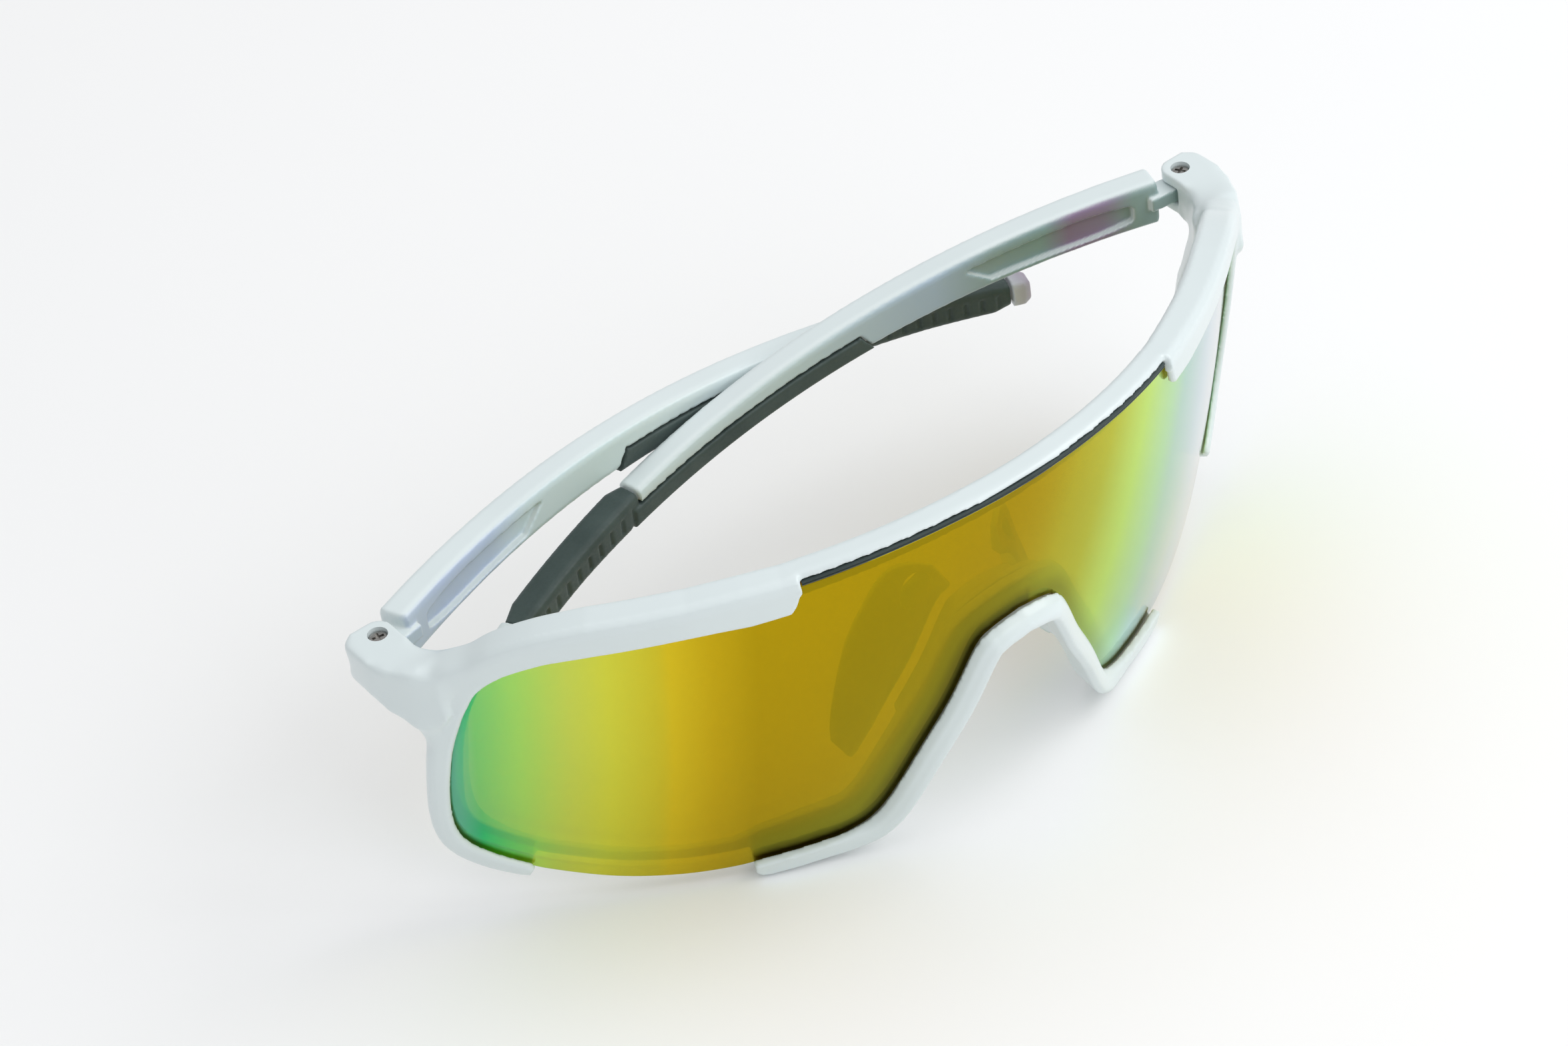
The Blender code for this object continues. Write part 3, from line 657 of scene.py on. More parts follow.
# The two whites that the plastic drifts between.
COOL_LOW = (0.68, 0.755, 0.765)
COOL_HIGH = (0.71, 0.785, 0.795)
WHITE_FRONT = white_plastic("front_white", COOL_LOW, COOL_HIGH)
RUBBER = rubber("grip_rubber_look", (0.036, 0.058, 0.055), (0.058, 0.086, 0.082))
GASKET = rubber("gasket_rubber_look", (0.022, 0.038, 0.037), (0.036, 0.056, 0.054))
STEEL = metal(
    "screw_steel_look", (0.30, 0.29, 0.28), (0.46, 0.45, 0.43), (0.14, 0.3), (1, 6, 1)
)
BRASS = metal(
    "insert_brass_look", (0.60, 0.42, 0.18), (0.74, 0.56, 0.28), (0.25, 0.4), (1, 1, 8)
)
SILICONE = silicone("pad_silicone_look")
MIRROR = mirror_lens("lens_mirror_look")
LENS_BACK = lens_back("lens_inner_look")
LENS_CUT = lens_edge("lens_edge_look")

# ---------------------------------------------------------------- front frame

FINE = 9  # sections between two rows of the lens edge
FRAME_VOXEL = 0.26
FRAME_ROUNDS = 20
FILL_ROUNDS = 700
NORMALS_EVERY = 8  # rounds of filling between two readings of the normals
BLEND_ROUNDS, BLEND_REGAIN = 50, 0.2
NOSE_LEAN = (27.2, 29.2)  # rows over which the nose rim comes to stand out
NOSE_END_ROWS, NOSE_END_ROUND = 0.45, 1.3
BARE_REACH = -0.8
# Where the side rim widens up into the underside of the lug, by z and by row.
WIDEN_FROM, WIDEN_FULL = -18.4, -14.2
WIDEN_FADE, WIDEN_STOP = -8.0, -5.0
WIDEN_ROWS = (10.0, 18.0)
WIDEN_BY = 1.9


def lip_section(out, rim, back, lip, proud):
    """A rim with a lip over the lens's front."""
    return (
        (-lip, -GAP),
        (-lip, -proud + 0.4),
        (-lip + 0.4, -proud),
        (out - 1.5, -proud),
        (out - 0.5, -proud + 0.3),
        (out, -proud + 1.15),
        (out, back - 0.7),
        (out - 0.7, back),
        (-rim + 0.7, back),
        (-rim, back - 0.5),
        (-rim, SEAT),
        (GAP, SEAT),
        (GAP, -GAP),
    )


def nose_section(out, rim, back, lean):
    """The nose rim: a bead that stands further out towards the nose as lean goes to 1."""
    proud = NOSE_PROUD + 1.2 * lean
    low = -1.0 + 0.6 * lean
    deep = back - 0.7 * lean
    foot = out - 0.7 * lean
    return (
        (low, -GAP),
        (low, -NOSE_PROUD + 0.9 * lean),
        (low + 0.5, -NOSE_PROUD - 0.1 * lean),
        (out - 1.6, -proud + 0.25 * lean),
        (out - 0.7, -proud),
        (out, -proud + 0.75),
        (foot, deep - 0.7),
        (foot - 0.7, deep),
        (-rim + 0.7, back),
        (-rim, back - 0.5),
        (-rim, SEAT),
        (GAP, SEAT),
        (GAP, -GAP),
    )


def cap_section(out, rim, back):
    """The brow bar in the middle, above the gasket."""
    low = 1.05
    return (
        (low, 0.75),
        (low, 0.3),
        (low + 0.08, 0.0),
        (low + 0.2, -0.25),
        (out - 0.15, 0.1),
        (out, 0.6),
        (out, back - 0.7),
        (out - 0.6, back),
        (-rim + 0.7, back),
        (-rim, back - 0.5),
        (-rim, SEAT),
        (0.4, SEAT),
        (low, SEAT - 0.5),
    )


def bare_section(out, rim, back):
    """A ledge behind the lens only, where its lower edge is bare."""
    front = [(out - 0.2 - k * 0.08, SEAT) for k in range(6)]
    return (
        front[2],
        front[1],
        front[0],
        (out - 0.1, SEAT + 0.05),
        (out, SEAT + 0.15),
        (out, SEAT + 0.4),
        (out, back - 0.5),
        (out - 0.5, back),
        (-rim + 0.7, back),
        (-rim, back - 0.5),
        (-rim, SEAT),
        front[5],
        front[4],
    )


def thin_section(rim, back):
    """The thin end wall between a lip and the bare stretch."""
    return (
        (GAP + 0.04, -GAP - 0.04),
        (GAP + 0.08, -GAP - 0.08),
        (GAP + 0.12, -GAP - 0.1),
        (GAP + 0.18, -GAP - 0.1),
        (GAP + 0.24, -GAP - 0.06),
        (END_WALL, -GAP),
        (END_WALL, back - 0.7),
        (END_WALL - 0.7, back),
        (-rim + 0.7, back),
        (-rim, back - 0.5),
        (-rim, SEAT),
        (GAP, SEAT),
        (GAP, -GAP),
    )


def frame_stations():
    """Each section's t and kind, from the brow's middle to the arch's middle."""
    spans = (
        ("cap", 0.0, CAP_END - 0.02),
        ("side", CAP_END + 0.02, SIDE_LIP_END),
        ("thin", SIDE_LIP_END + 0.02, None),
        ("stub", SIDE_LIP_END + 0.04, None),
        ("bare", SIDE_LIP_END + 0.06, NOSE_LIP_START - 0.06),
        ("stub", NOSE_LIP_START - 0.04, None),
        ("thin", NOSE_LIP_START - 0.02, None),
        ("nose", NOSE_LIP_START, float(LAST)),
    )
    for kind, start, stop in spans:
        yield start, kind
        if stop is None:
            continue
        for k in range(LAST * FINE + 1):
            if start + 0.05 < k / FINE < stop - 0.05:
                yield k / FINE, kind
        yield stop, kind


def frame_ring(t, kind):
    """The frame's section at t, as a ring of points."""
    out, rim, back, lip = edge_widths(t)
    if kind == "cap":
        return edge_ring(t, cap_section(max(out, 1.7), rim, back))
    if kind == "thin":
        return edge_ring(t, thin_section(rim, back))
    if kind in ("bare", "stub"):
        return edge_ring(t, bare_section(BARE_REACH if kind == "bare" else END_WALL, rim, back))
    if kind == "nose":
        # The lip's end is rounded off, and the rim leans out on the nose's legs.
        start = fade(t, NOSE_LIP_START, NOSE_LIP_START + NOSE_END_ROWS)
        drop = NOSE_END_ROUND * (1 - math.sqrt(1 - (1 - start) ** 2))
        lean = eased(fade(t, *NOSE_LEAN))
        return edge_ring(t, nose_section(max(out, 2.3) - drop, rim, back, lean))
    out = max(out, 1.5)
    if WIDEN_ROWS[0] < t < WIDEN_ROWS[1]:
        z = edge_point(t)[1]
        rise = fade(z, WIDEN_FROM, WIDEN_FULL) * fade(z, WIDEN_STOP, WIDEN_FADE)
        out += WIDEN_BY * eased(rise)
    return edge_ring(t, lip_section(out, rim, back, max(lip, LEAST_LIP), LIP_PROUD))


def ring_object():
    """The whole rim, from its left half and that half mirrored."""
    half = [frame_ring(t, kind) for t, kind in frame_stations()]
    other = [ring * (-1, 1, 1) for ring in half[::-1][1:-1]]
    return loft("ring", half + other, loop=True)


HINGE_X, HINGE_Y = 68.0, 46.7
LUG_TOP, LUG_BOTTOM = -4.9, -10.8
SLOT_LOW, SLOT_HIGH = -9.3, -6.6
# The lug's first section, in the rim: x and z at one depth behind the lens.
LUG_ROOT_DEPTH = 2.5
LUG_ROOT = (
    (64.6, -14.4),
    (67.4, -14.6),
    (67.4, -9.5),
    (64.8, -3.4),
    (61.0, -3.4),
    (62.6, -9.0),
)
# y, inner x, outer x, bottom z, top z, and how deep the outer side is hollowed.
LUG_SECTIONS = (
    (36.6, 63.3, 69.9, -14.5, -4.4, 0.5),
    (39.6, 64.9, 71.3, -13.2, -4.8, 0.6),
    (43.8, 65.4, 72.3, -11.5, LUG_TOP, 0.5),
    (44.6, 65.45, 72.4, -11.3, LUG_TOP, 0.4),
)
# The outer side, which flares down to the side rim.
FLARE_SECTIONS = (
    (33.6, 66.9, 67.6, -11.6, -5.9, 0.0),
    (35.2, 66.9, 68.7, -13.8, -5.2, 0.2),
    (37.4, 67.3, 70.3, -14.4, -4.9, 0.5),
    (39.6, 66.4, 71.2, -13.2, -4.9, 0.6),
    (42.0, 66.6, 71.8, -12.1, -5.1, 0.5),
)
# The web in the corner between the brow and the lug, in plan.
WEB = (
    (60.6, 35.6),
    (63.6, 35.2),
    (67.4, 35.4),
    (69.6, 39.0),
    (69.8, 43.0),
    (65.8, 43.0),
    (65.0, 40.8),
    (63.8, 39.0),
    (61.8, 37.6),
)
WEB_LOW, WEB_HIGH = -10.5, -5.1
# The hinge's ears in plan, and the wall that joins them on the outer side.
EAR_INNER, EAR_OUTER = 65.6, 72.4
EAR_FRONT, EAR_REAR = 43.0, 49.4
EAR_INNER_ROUND, EAR_OUTER_ROUND = 2.3, 1.9
EAR_WALL = ((71.3, 43.0), (72.4, 43.0), (72.4, 47.2), (72.1, 48.2), (71.3, 48.9))


def rounded(corners, share=0.24, rounds=2):
    """Corner cutting on a closed ring of points."""
    points = np.array(corners, float)
    for _ in range(rounds):
        after = np.roll(points, -1, axis=0)
        near = (1 - share) * points + share * after
        far = share * points + (1 - share) * after
        points = np.stack([near, far], 1).reshape(-1, 3)
    return points


def lug_corners(y, inner, outer, low, high, hollow):
    """The lug's section at y."""
    middle = (low + high) / 2
    return np.array(
        [
            (inner, y, low),
            (outer, y, low),
            (outer - hollow, y, middle),
            (outer, y, high),
            (inner, y, high),
            (inner, y, middle),
        ]
    ) + SHIFT


def sections_loft(name, corner_rings, steps=6):
    """A solid along a smooth curve through rings of corners, with the corners eased."""
    corner_rings = np.array(corner_rings)
    fine = [
        curve_through(corner_rings, t)
        for t in np.linspace(0, len(corner_rings) - 1, steps * (len(corner_rings) - 1) + 1)
    ]
    return loft(name, [rounded(ring, 0.14) for ring in fine])


def prism(name, outline, low, high):
    """A plan outline from low to high."""
    outline = np.array(outline, float)
    rings = [np.column_stack([outline, np.full(len(outline), z)]) + SHIFT for z in (low, high)]
    return loft(name, rings)


def ear_outline():
    """The hinge ear in plan, with its rear corners rounded and the inner one most."""
    points = [(EAR_INNER, EAR_FRONT), (EAR_OUTER, EAR_FRONT)]
    corners = (
        (EAR_OUTER - EAR_OUTER_ROUND, 0.0, EAR_OUTER_ROUND),
        (EAR_INNER + EAR_INNER_ROUND, 90.0, EAR_INNER_ROUND),
    )
    for x, start, radius in corners:
        y = EAR_REAR - radius
        for angle in np.radians(np.linspace(start, start + 90.0, 8)):
            points.append((x + radius * math.cos(angle), y + radius * math.sin(angle)))
    return points


def lug_objects():
    """The left lug and fork, as solids that overlap."""
    root = [on_lens(across(x), z, LUG_ROOT_DEPTH) for x, z in LUG_ROOT]
    return [
        sections_loft("lug", [root, *(lug_corners(*s) for s in LUG_SECTIONS[1:])]),
        sections_loft("lug_mid", [lug_corners(*s) for s in LUG_SECTIONS]),
        sections_loft("flare", [lug_corners(*s) for s in FLARE_SECTIONS]),
        prism("top_plate", ear_outline(), SLOT_HIGH, LUG_TOP),
        prism("bottom_plate", ear_outline(), LUG_BOTTOM, SLOT_LOW),
        prism("web", WEB, WEB_LOW, WEB_HIGH),
        prism("ear_wall", EAR_WALL, LUG_BOTTOM, LUG_TOP),
    ]


def off_lens(points):
    """How far points of the row frame are outside the lens edge, and behind its front."""
    local = points - SHIFT
    x, z = np.abs(local[:, 0]), local[:, 2]
    surface = x * x / (2 * LENS_RADIUS) - LENS_TILT * z + LENS_BARREL * z * z
    slope = x / LENS_RADIUS
    depth = (local[:, 1] - surface) / np.sqrt(1 + slope * slope)
    x = x + depth * slope / np.sqrt(1 + slope * slope)
    flat = np.stack([np.interp(x, ACROSS_X, ACROSS_U), z], -1)
    rows = np.arange(4.0, 24.0, 0.2)  # the side of the lens
    edge = np.array([edge_point(t) for t in rows])
    out = np.array([edge_outward(t, NEAR_EASE) for t in rows])
    gap = flat[:, None, :] - edge[None]
    nearest = (gap**2).sum(-1).argmin(1)
    return (gap[np.arange(len(flat)), nearest] * out[nearest]).sum(-1), depth


# The blend between brow, lug and side rim is an ellipsoid that ends before the ears.
BLEND_CENTRE = (66.0, 36.0, -9.5)
BLEND_REACH = (10.5, 9.5, 13.5)
BLEND_FULL = 0.6875  # share of the reach inside which the blend is full
BLEND_REAR = (43.8, 42.3)
# The lug's outer side is blended too, beyond this x and behind this y.
OUTER_X = (70.6, 71.2)
OUTER_Y = (34.0, 37.0)
OUTER_SHARE = 0.8
# Nothing moves near the lens: up to this depth, from this far outside its edge.
LIP_DEPTH = 2.8
LIP_OUT = (0.7, 1.6)


def near_lug(points):
    """1 in the blend between brow, lug and side rim; 0 at the hinge and elsewhere."""
    local = points - SHIFT
    side, y = np.abs(local[:, 0]), local[:, 1]
    scaled = (np.column_stack([side, y, local[:, 2]]) - BLEND_CENTRE) / BLEND_REACH
    reach = np.sqrt((scaled**2).sum(1))
    weight = fade(reach, 1.0, BLEND_FULL) * fade(y, *BLEND_REAR)
    weight = np.maximum(weight, OUTER_SHARE * fade(side, *OUTER_X) * fade(y, *OUTER_Y))
    near = np.flatnonzero(weight)
    q, depth = off_lens(points[near])
    weight[near] *= np.where(depth < LIP_DEPTH, fade(q, *LIP_OUT), 1.0)
    return weight


def fill_hollows(obj, rounds, where):
    """Raises only the hollows where `where` is above 0, which rounds inside corners."""
    data = obj.data
    points = coordinates(data)
    weight = where(points / MM)
    edges = edge_ends(data)
    edges = edges[(weight[edges] > 0).any(1)]
    used, edges = np.unique(edges, return_inverse=True)
    a, b = edges.reshape(-1, 2).T
    count = neighbour_count(len(used), a, b)
    strength = INWARD * weight[used]
    for turn in range(rounds):
        if turn % NORMALS_EVERY == 0:
            set_coordinates(data, points)
            normals = vertex_normals(data)[used]
        here = points[used]
        pull = neighbour_pull(here, a, b, count)
        lift = (pull * normals).sum(1)
        points[used] = here + (strength * (lift > 0))[:, None] * pull
    set_coordinates(data, points)
    return obj


COUNTERBORE, HOLE = 1.36, 1.0  # radii
# Radius and z down the bore, past both faces of the lug.
BORE = (
    (COUNTERBORE, LUG_TOP + 1),
    (COUNTERBORE, LUG_TOP - 1.2),
    (HOLE, LUG_TOP - 1.25),
    (HOLE, LUG_BOTTOM - 1),
)
BY_BORE = 1.6


def by_bores(points):
    """True near either hinge axis."""
    local = points - SHIFT
    away = np.hypot(np.abs(local[:, 0]) - HINGE_X, local[:, 1] - HINGE_Y)
    return away < BY_BORE


def front_frame():
    """The rim and both lugs as one moulded surface, with the screws' bores cut."""
    shells = [ring_object()]
    for body in lug_objects():
        shells.append(mirror_copy(body, body.name + "_r"))
        shells.append(body)
    whole = join("frame_front", shells)
    remesh(whole, FRAME_VOXEL)
    relax(whole, FRAME_ROUNDS)
    fill_hollows(whole, FILL_ROUNDS, near_lug)
    relax(whole, BLEND_ROUNDS, BLEND_REGAIN, near_lug)
    for sign in (1, -1):
        cut(whole, lathe("bore", BORE, (sign * HINGE_X, HINGE_Y)))
    smooth_shade(whole, 50)
    return soften(whole, by_bores)


settle(front_frame(), "front", "front_frame", WHITE_FRONT)

# ---------------------------------------------------------------- lens


def lens_outline(count):
    """Lower and upper z of the lens at evenly spread u."""
    half = np.array([edge_point(t) for t in np.linspace(0, LAST, LAST * 24 + 1)])
    widest = int(np.argmax(half[:, 0]))
    limit = half[widest, 0] - 0.01
    u = limit * np.sin(np.linspace(-np.pi / 2, np.pi / 2, count))
    top = np.interp(np.abs(u), half[: widest + 1, 0], half[: widest + 1, 1])
    low = np.interp(np.abs(u), half[:widest:-1, 0], half[:widest:-1, 1])
    return u, low, top


def lip_reach(t):
    """How far in from the lens edge the frame's lip reaches at t, or 0."""
    if CAP_END < t < SIDE_LIP_END or t > NOSE_LIP_START:
        return max(edge_widths(t)[3], LEAST_LIP)
    return 0.0


LENS_COLUMNS, LENS_ROWS = 361, 56
LENS_BEVEL = 0.22
# The shade beside a lip: how wide it is and how strong at the lip.
SIDE_SHADE, SIDE_SHADE_STRENGTH = 0.6, 0.12
NOSE_SHADE, NOSE_SHADE_STRENGTH = 2.8, 0.75
# The half of the lens at +X faces the light and has less of the shade.
LIT_FROM, LIT_SHARE = 2.0, 0.45


def rim_shade(flat_u, flat_z, share):
    """The shade that gathers beside the front lips, from 0 to 1, at (u, z) points."""
    points, band, strength = [], [], []
    for t in np.arange(0.0, LAST, 0.04):
        inside = lip_reach(t)
        if not inside:
            continue
        point = edge_point(t) - inside * edge_outward(t, NEAR_EASE)
        points += [point, point * (-1, 1)]
        if t > NOSE_LIP_START:
            grown = fade(t, NOSE_LIP_START, NOSE_LIP_START + 0.5)
            band += [(NOSE_SHADE - 0.1) * grown + 0.1] * 2
            strength += [NOSE_SHADE_STRENGTH] * 2
        else:
            band += [SIDE_SHADE] * 2
            strength += [SIDE_SHADE_STRENGTH] * 2
    points, band, strength = np.array(points), np.array(band), np.array(strength)
    shade = np.zeros(flat_u.shape)
    for column in range(len(flat_u)):
        du = flat_u[column][:, None] - points[None, :, 0]
        dz = flat_z[column][:, None] - points[None, :, 1]
        near = np.clip(1 - np.sqrt(du**2 + dz**2) / band[None, :], 0, 1)
        shade[column] = share[column] * (strength * near).max(1)
    return shade


def lens_piece():
    """The shield lens: coated front, clear back and bevelled edge."""
    columns, rows = LENS_COLUMNS, LENS_ROWS
    u, low, top = lens_outline(columns)
    share = 0.5 - 0.5 * np.cos(np.linspace(0, np.pi, rows))
    low_in = low + LENS_BEVEL
    top_in = np.maximum(top - LENS_BEVEL, low_in + 0.01)
    z = low_in + share[:, None] * (top_in - low_in)
    front = on_lens(u[None, :], z, 0.0)
    back = on_lens(u[None, :], z, LENS_THICKNESS)
    bevels = np.array([[LENS_BEVEL], [LENS_THICKNESS - LENS_BEVEL]])
    u_twice = np.tile(u, (2, 1))
    edge_top = on_lens(u_twice, np.tile(top, (2, 1)), bevels)
    edge_low = on_lens(u_twice, np.tile(low, (2, 1)), bevels[::-1])
    ring = np.concatenate([front, edge_top, back[::-1], edge_low])
    lens = loft("shield_lens", ring.transpose(1, 0, 2))
    per = len(ring)
    for index, polygon in enumerate(lens.data.polygons[: (columns - 1) * per]):
        j = index % per
        if j < rows - 1:
            polygon.material_index = 0
        elif rows + 2 <= j < 2 * rows + 1:
            polygon.material_index = 1
        else:
            polygon.material_index = 2
    for polygon in lens.data.polygons[(columns - 1) * per :]:
        polygon.material_index = 2

    flat_u = np.tile(u[:, None], (1, per))
    tops, lows = np.tile(top, (2, 1)), np.tile(low, (2, 1))
    flat_z = np.concatenate([z, tops, z[::-1], lows]).T
    shade = rim_shade(flat_u, flat_z, np.where(u > LIT_FROM, LIT_SHARE, 1.0))
    attribute = lens.data.attributes.new("rim_shade", "FLOAT", "POINT")
    attribute.data.foreach_set("value", shade.reshape(-1).astype(np.float32))
    smooth_shade(lens, 35)
    return lens


settle(lens_piece(), "front", "lens", (MIRROR, LENS_BACK, LENS_CUT))

# ---------------------------------------------------------------- gasket


def gasket_piece():
    """A rubber strip with two ridges, across the middle of the lens's top edge."""
    profile = (
        (0.12, 0.10),
        (0.14, -0.16),
        (0.24, -0.32),
        (0.38, -0.36),
        (0.47, -0.26),
        (0.52, -0.12),
        (0.57, -0.26),
        (0.66, -0.36),
        (0.80, -0.34),
        (0.92, -0.20),
        (0.96, 0.10),
        (0.72, 0.35),
        (0.72, 1.0),
        (0.30, 1.0),
        (0.30, 0.3),
    )
    half = [edge_ring(t, profile) for t in np.linspace(0.0, CAP_END - 0.25, 90)]
    other = [ring * (-1, 1, 1) for ring in half[:0:-1]]
    return smooth_shade(loft("brow_gasket_strip", other + half), 60)


settle(gasket_piece(), "front", "brow_gasket", GASKET)

# ---------------------------------------------------------------- moulded copies


def moulded(node, name, voxel, rounds):
    """A CAD node's own shape with the sharp edges of a mould rounded over."""
    made = welded(copy_node(node, name))
    remesh(made, voxel)
    relax(made, rounds)
    return smooth_shade(made)


settle(
    moulded("nose_carrier", "nose_saddle", voxel=0.22, rounds=12),
    "front",
    "nose_carrier",
    WHITE_FRONT,
)


# The pads run along these rows of the nose arch, from this far inside its edge.
PAD_ROWS = (28.95, 32.95)
PAD_NEAR, PAD_REACH = -1.7, 7.2
PAD_BEHIND = GAP + 4.5  # from the frame's back to the wing's root
# The window's middle and half size, in rows and in millimetres inside the edge.
WINDOW_ROW, WINDOW_HALF_ROWS = 32.15, 0.52
WINDOW_INSIDE, WINDOW_HALF = -3.6, 1.15
WINDOW_DEPTHS = (2.0, 16.0)


def pad_section(base, reach):
    """The wing's section, with its root at the base depth."""
    near = PAD_NEAR
    return (
        (near, base),
        (near + 1.0, base - 0.1),
        (near - 0.1 * reach + 1.3, base + 0.55 * reach),
        (near - 0.55 * reach + 0.8, base + 0.95 * reach),
        (near - 0.75 * reach, base + reach),
        (near - 0.75 * reach - 0.6, base + 0.85 * reach),
        (near - 0.35 * reach - 0.5, base + 0.5 * reach),
    )


def pad_window():
    """The cutter for the window, an oval through the wing."""
    angles = np.linspace(0, 2 * np.pi, 24, endpoint=False)
    rings = []
    for depth in WINDOW_DEPTHS:
        ring = []
        for angle in angles:
            t = WINDOW_ROW + WINDOW_HALF_ROWS * math.cos(angle)
            q = WINDOW_INSIDE + WINDOW_HALF * math.sin(angle)
            ring.append(edge_ring(t, ((q, depth),))[0])
        rings.append(ring)
    return loft("window", rings)


def pad_piece(name, sign):
    """A soft wing that spreads back from the saddle, with a long window near its top."""
    rings = []
    for share in np.linspace(0.0, 1.0, 61):
        t = PAD_ROWS[0] + share * (PAD_ROWS[1] - PAD_ROWS[0])
        swell = math.sin(math.pi * (0.04 + 0.92 * share)) ** 0.5
        base = edge_widths(t)[2] + PAD_BEHIND
        rings.append(edge_ring(t, pad_section(base, PAD_REACH * swell)))
    wing = loft(name, rings)
    remesh(wing, 0.25)
    relax(wing, 20, INWARD)
    cut(wing, pad_window())
    if sign < 0:
        wing.data.transform(Matrix.Diagonal((-1, 1, 1, 1)))
        wing.data.flip_normals()
    return smooth_shade(wing, 50)


for side, sign in (("left", 1), ("right", -1)):
    settle(
        pad_piece(f"nose_wing_{side}", sign),
        "front",
        f"nose_pad_{side}",
        SILICONE,
    )

# ---------------------------------------------------------------- temples

PALE = (0.66, 0.74, 0.75)
# Painted shade and painted reflections of the lens's colours on each temple's inner face, by X.
INNER_SHADE_AND_REFLECTION = {
    "left": (
        (-60.0, PALE),
        (8.0, (0.50, 0.62, 0.63)),
        (30.0, (0.38, 0.50, 0.62)),
        (39.0, (0.26, 0.37, 0.38)),
        (47.0, (0.22, 0.34, 0.35)),
        (51.0, (0.25, 0.18, 0.31)),
        (56.0, (0.27, 0.21, 0.34)),
        (60.0, (0.26, 0.36, 0.36)),
        (68.0, (0.32, 0.44, 0.44)),
    ),
    "right": (
        (-68.0, (0.50, 0.58, 0.64)),
        (-56.0, (0.42, 0.51, 0.70)),
        (-46.0, (0.42, 0.52, 0.70)),
        (-38.0, (0.54, 0.67, 0.72)),
        (-24.0, (0.58, 0.72, 0.74)),
        (10.0, PALE),
        (44.0, PALE),
        (50.0, (0.31, 0.21, 0.33)),
    ),
}
# The right temple's tip has the painted shade and reflections on every face, from this X on.
TIP_FADE = (44.0, 46.0)
# A face is an inner one as its normal turns to -Y.
INNER_FADE = (0.35, 0.75)


def shade_inner(obj, side):
    """Marks the arm's inner face with an attribute that carries its painted shade and
    reflections.
    """
    data = obj.data
    facing = fade(-vertex_normals(data)[:, 1], *INNER_FADE)
    if side == "right":
        x = coordinates(data)[:, 0] / MM
        facing = np.maximum(facing, fade(x, *TIP_FADE))
    attribute = data.attributes.new("inner_painted_light", "FLOAT", "POINT")
    attribute.data.foreach_set("value", facing.astype(np.float32))
    return obj


for side in ("left", "right"):
    white = white_plastic(f"temple_white_{side}", COOL_LOW, COOL_HIGH, INNER_SHADE_AND_REFLECTION[side])
    settle(
        shade_inner(moulded(f"temple_arm_{side}", f"temple_{side}", voxel=0.25, rounds=9), side),
        f"temple_{side}",
        f"temple_arm_{side}",
        white,
    )
    settle(
        moulded(f"temple_grip_{side}", f"grip_{side}", voxel=0.2, rounds=5),
        f"temple_{side}",
        f"temple_grip_{side}",
        RUBBER,
    )

# ---------------------------------------------------------------- screws


SHANK, HEAD = 0.7, 1.22  # radii
HEAD_TOP = LUG_TOP - 0.5
# Radius and z up the screw.
SCREW = (
    (SHANK, LUG_BOTTOM + 0.75),
    (SHANK, LUG_TOP - 0.9),
    (HEAD, LUG_TOP - 0.9),
    (HEAD, HEAD_TOP - 0.16),
    (HEAD - 0.03, HEAD_TOP - 0.07),
    (HEAD - 0.12, HEAD_TOP),
    (0.2, HEAD_TOP + 0.02),
)
RECESS_HALF, RECESS_LONG, RECESS_DEPTH = 0.2, 0.8, 0.38
RECESS_TURN = {"left": 28.0, "right": -12.0}  # degrees


def recess_outline(centre, turn):
    """A cross in plan: one quarter's corners, turned four times."""
    quarter = ((RECESS_HALF, RECESS_LONG), (RECESS_HALF, RECESS_HALF), (RECESS_LONG, RECESS_HALF))
    points = []
    for k in range(4):
        angle = math.radians(turn - 90.0 * k)
        for x, y in quarter:
            points.append(
                (
                    centre[0] + x * math.cos(angle) - y * math.sin(angle),
                    centre[1] + x * math.sin(angle) + y * math.cos(angle),
                )
            )
    return points


def screw_piece(side, sign):
    """A screw with a cross recess in its head."""
    centre = (sign * HINGE_X, HINGE_Y)
    screw = lathe(f"screw_{side}", SCREW, centre)
    outline = recess_outline(centre, RECESS_TURN[side])
    cut(screw, prism("recess", outline, HEAD_TOP - RECESS_DEPTH, HEAD_TOP + RECESS_DEPTH))
    return smooth_shade(screw, 30)


for side, sign in (("left", 1), ("right", -1)):
    settle(screw_piece(side, sign), "front", f"hinge_screw_{side}", STEEL)
    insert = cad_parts[f"hinge_insert_{side}"]
    insert.data.materials.clear()
    insert.data.materials.append(BRASS)

# ---------------------------------------------------------------- stage

FLOOR_LOW, FLOOR_HIGH = (0.93, 0.935, 0.94), (0.95, 0.95, 0.95)
WORLD_COLOUR, WORLD_STRENGTH = (0.98, 0.99, 1.0, 1.0), 0.56
# Each soft square light's place and size in metres, and its power in watts.
LIGHTS = {
    "top_soft": ((0.0, 0.1, 1.2), 1.4, 3.5),
    "right_soft": ((0.75, -0.45, 0.85), 0.8, 5.0),
    "front_soft": ((0.15, -0.9, 0.7), 0.8, 2.8),
}
LIT_POINT = (0.0, 0.0, 0.03)


def floor_material(name):
    """Matt white card."""
    made, nodes, links, shader = new_material(name)
    drift(nodes, links, shader, noise(nodes, links, 3.0, 2.0), FLOOR_LOW, FLOOR_HIGH)
    set_inputs(shader, {"Roughness": 0.9, "Specular IOR Level": 0.1})
    return made


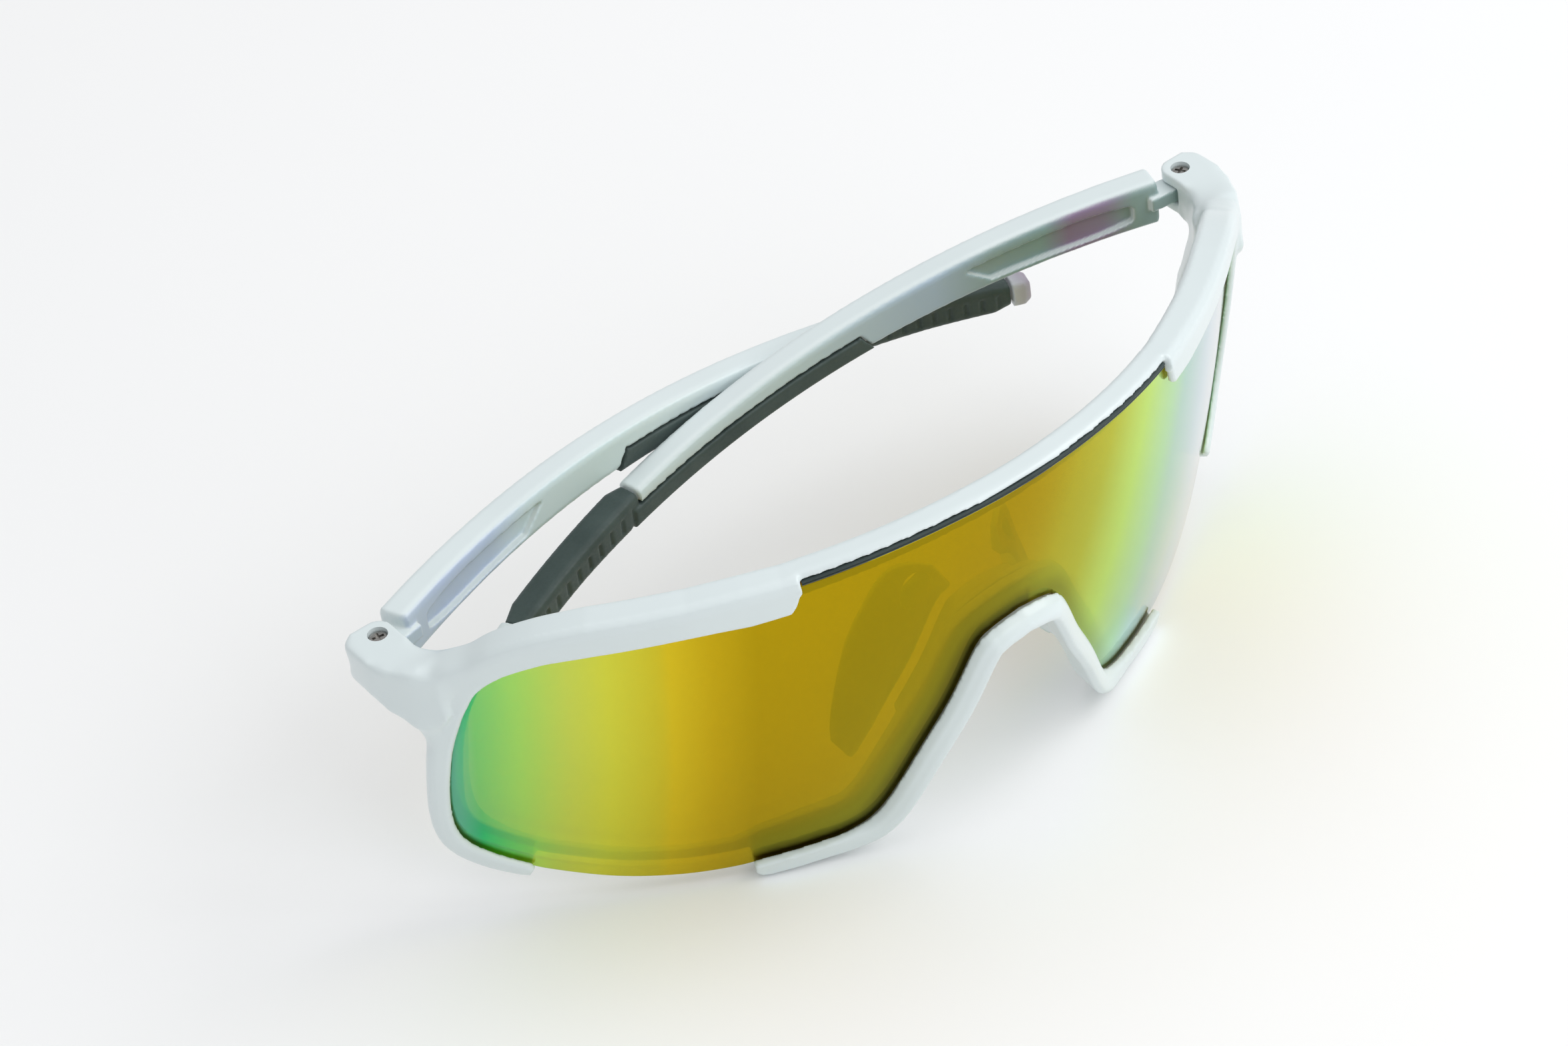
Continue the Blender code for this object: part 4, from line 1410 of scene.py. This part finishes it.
bpy.ops.mesh.primitive_plane_add(size=6.0, location=(0, 0, 0))
floor = bpy.context.object
floor.name = "floor"
floor.data.materials.append(floor_material("floor_look"))

scene = bpy.context.scene
scene.view_settings.view_transform = "Standard"
world = bpy.data.worlds.new("studio")
scene.world = world
world.use_nodes = True
background = world.node_tree.nodes["Background"]
set_inputs(background, {"Color": WORLD_COLOUR, "Strength": WORLD_STRENGTH})


def area_light(name, place, size, power):
    """A square light that faces the object."""
    data = bpy.data.lights.new(name, "AREA")
    data.shape = "RECTANGLE"
    data.size = data.size_y = size
    data.energy = power
    made = bpy.data.objects.new(name, data)
    scene.collection.objects.link(made)
    made.location = place
    aim = Vector(LIT_POINT) - Vector(place)
    made.rotation_euler = aim.to_track_quat("-Z", "Y").to_euler()


for name, (place, size, power) in LIGHTS.items():
    area_light(name, place, size, power)

# ---------------------------------------------------------------- camera

# Fitted to the hinges, the brow, the nose rim and the lens's outline.
AZIMUTH, ELEVATION, ROLL = (math.radians(a) for a in (-32.189, 39.961, -8.787))
CAMERA_PLACE = (np.array([-251.72, -344.78, 362.60]) + SHIFT) * MM
FOCAL_LENGTH, SENSOR_WIDTH = 102.37, 36.0
back = Vector(
    (
        math.sin(AZIMUTH) * math.cos(ELEVATION),
        -math.cos(AZIMUTH) * math.cos(ELEVATION),
        math.sin(ELEVATION),
    )
)
right = Vector((math.cos(AZIMUTH), math.sin(AZIMUTH), 0.0))
up = back.cross(right)
turned_right = math.cos(ROLL) * right + math.sin(ROLL) * up
turned_up = -math.sin(ROLL) * right + math.cos(ROLL) * up
camera = bpy.data.objects.new("camera", bpy.data.cameras.new("camera"))
scene.collection.objects.link(camera)
camera.matrix_world = Matrix(
    (
        (turned_right.x, turned_up.x, back.x, CAMERA_PLACE[0]),
        (turned_right.y, turned_up.y, back.y, CAMERA_PLACE[1]),
        (turned_right.z, turned_up.z, back.z, CAMERA_PLACE[2]),
        (0, 0, 0, 1),
    )
)
camera.data.sensor_width = SENSOR_WIDTH
camera.data.lens = FOCAL_LENGTH
scene.camera = camera
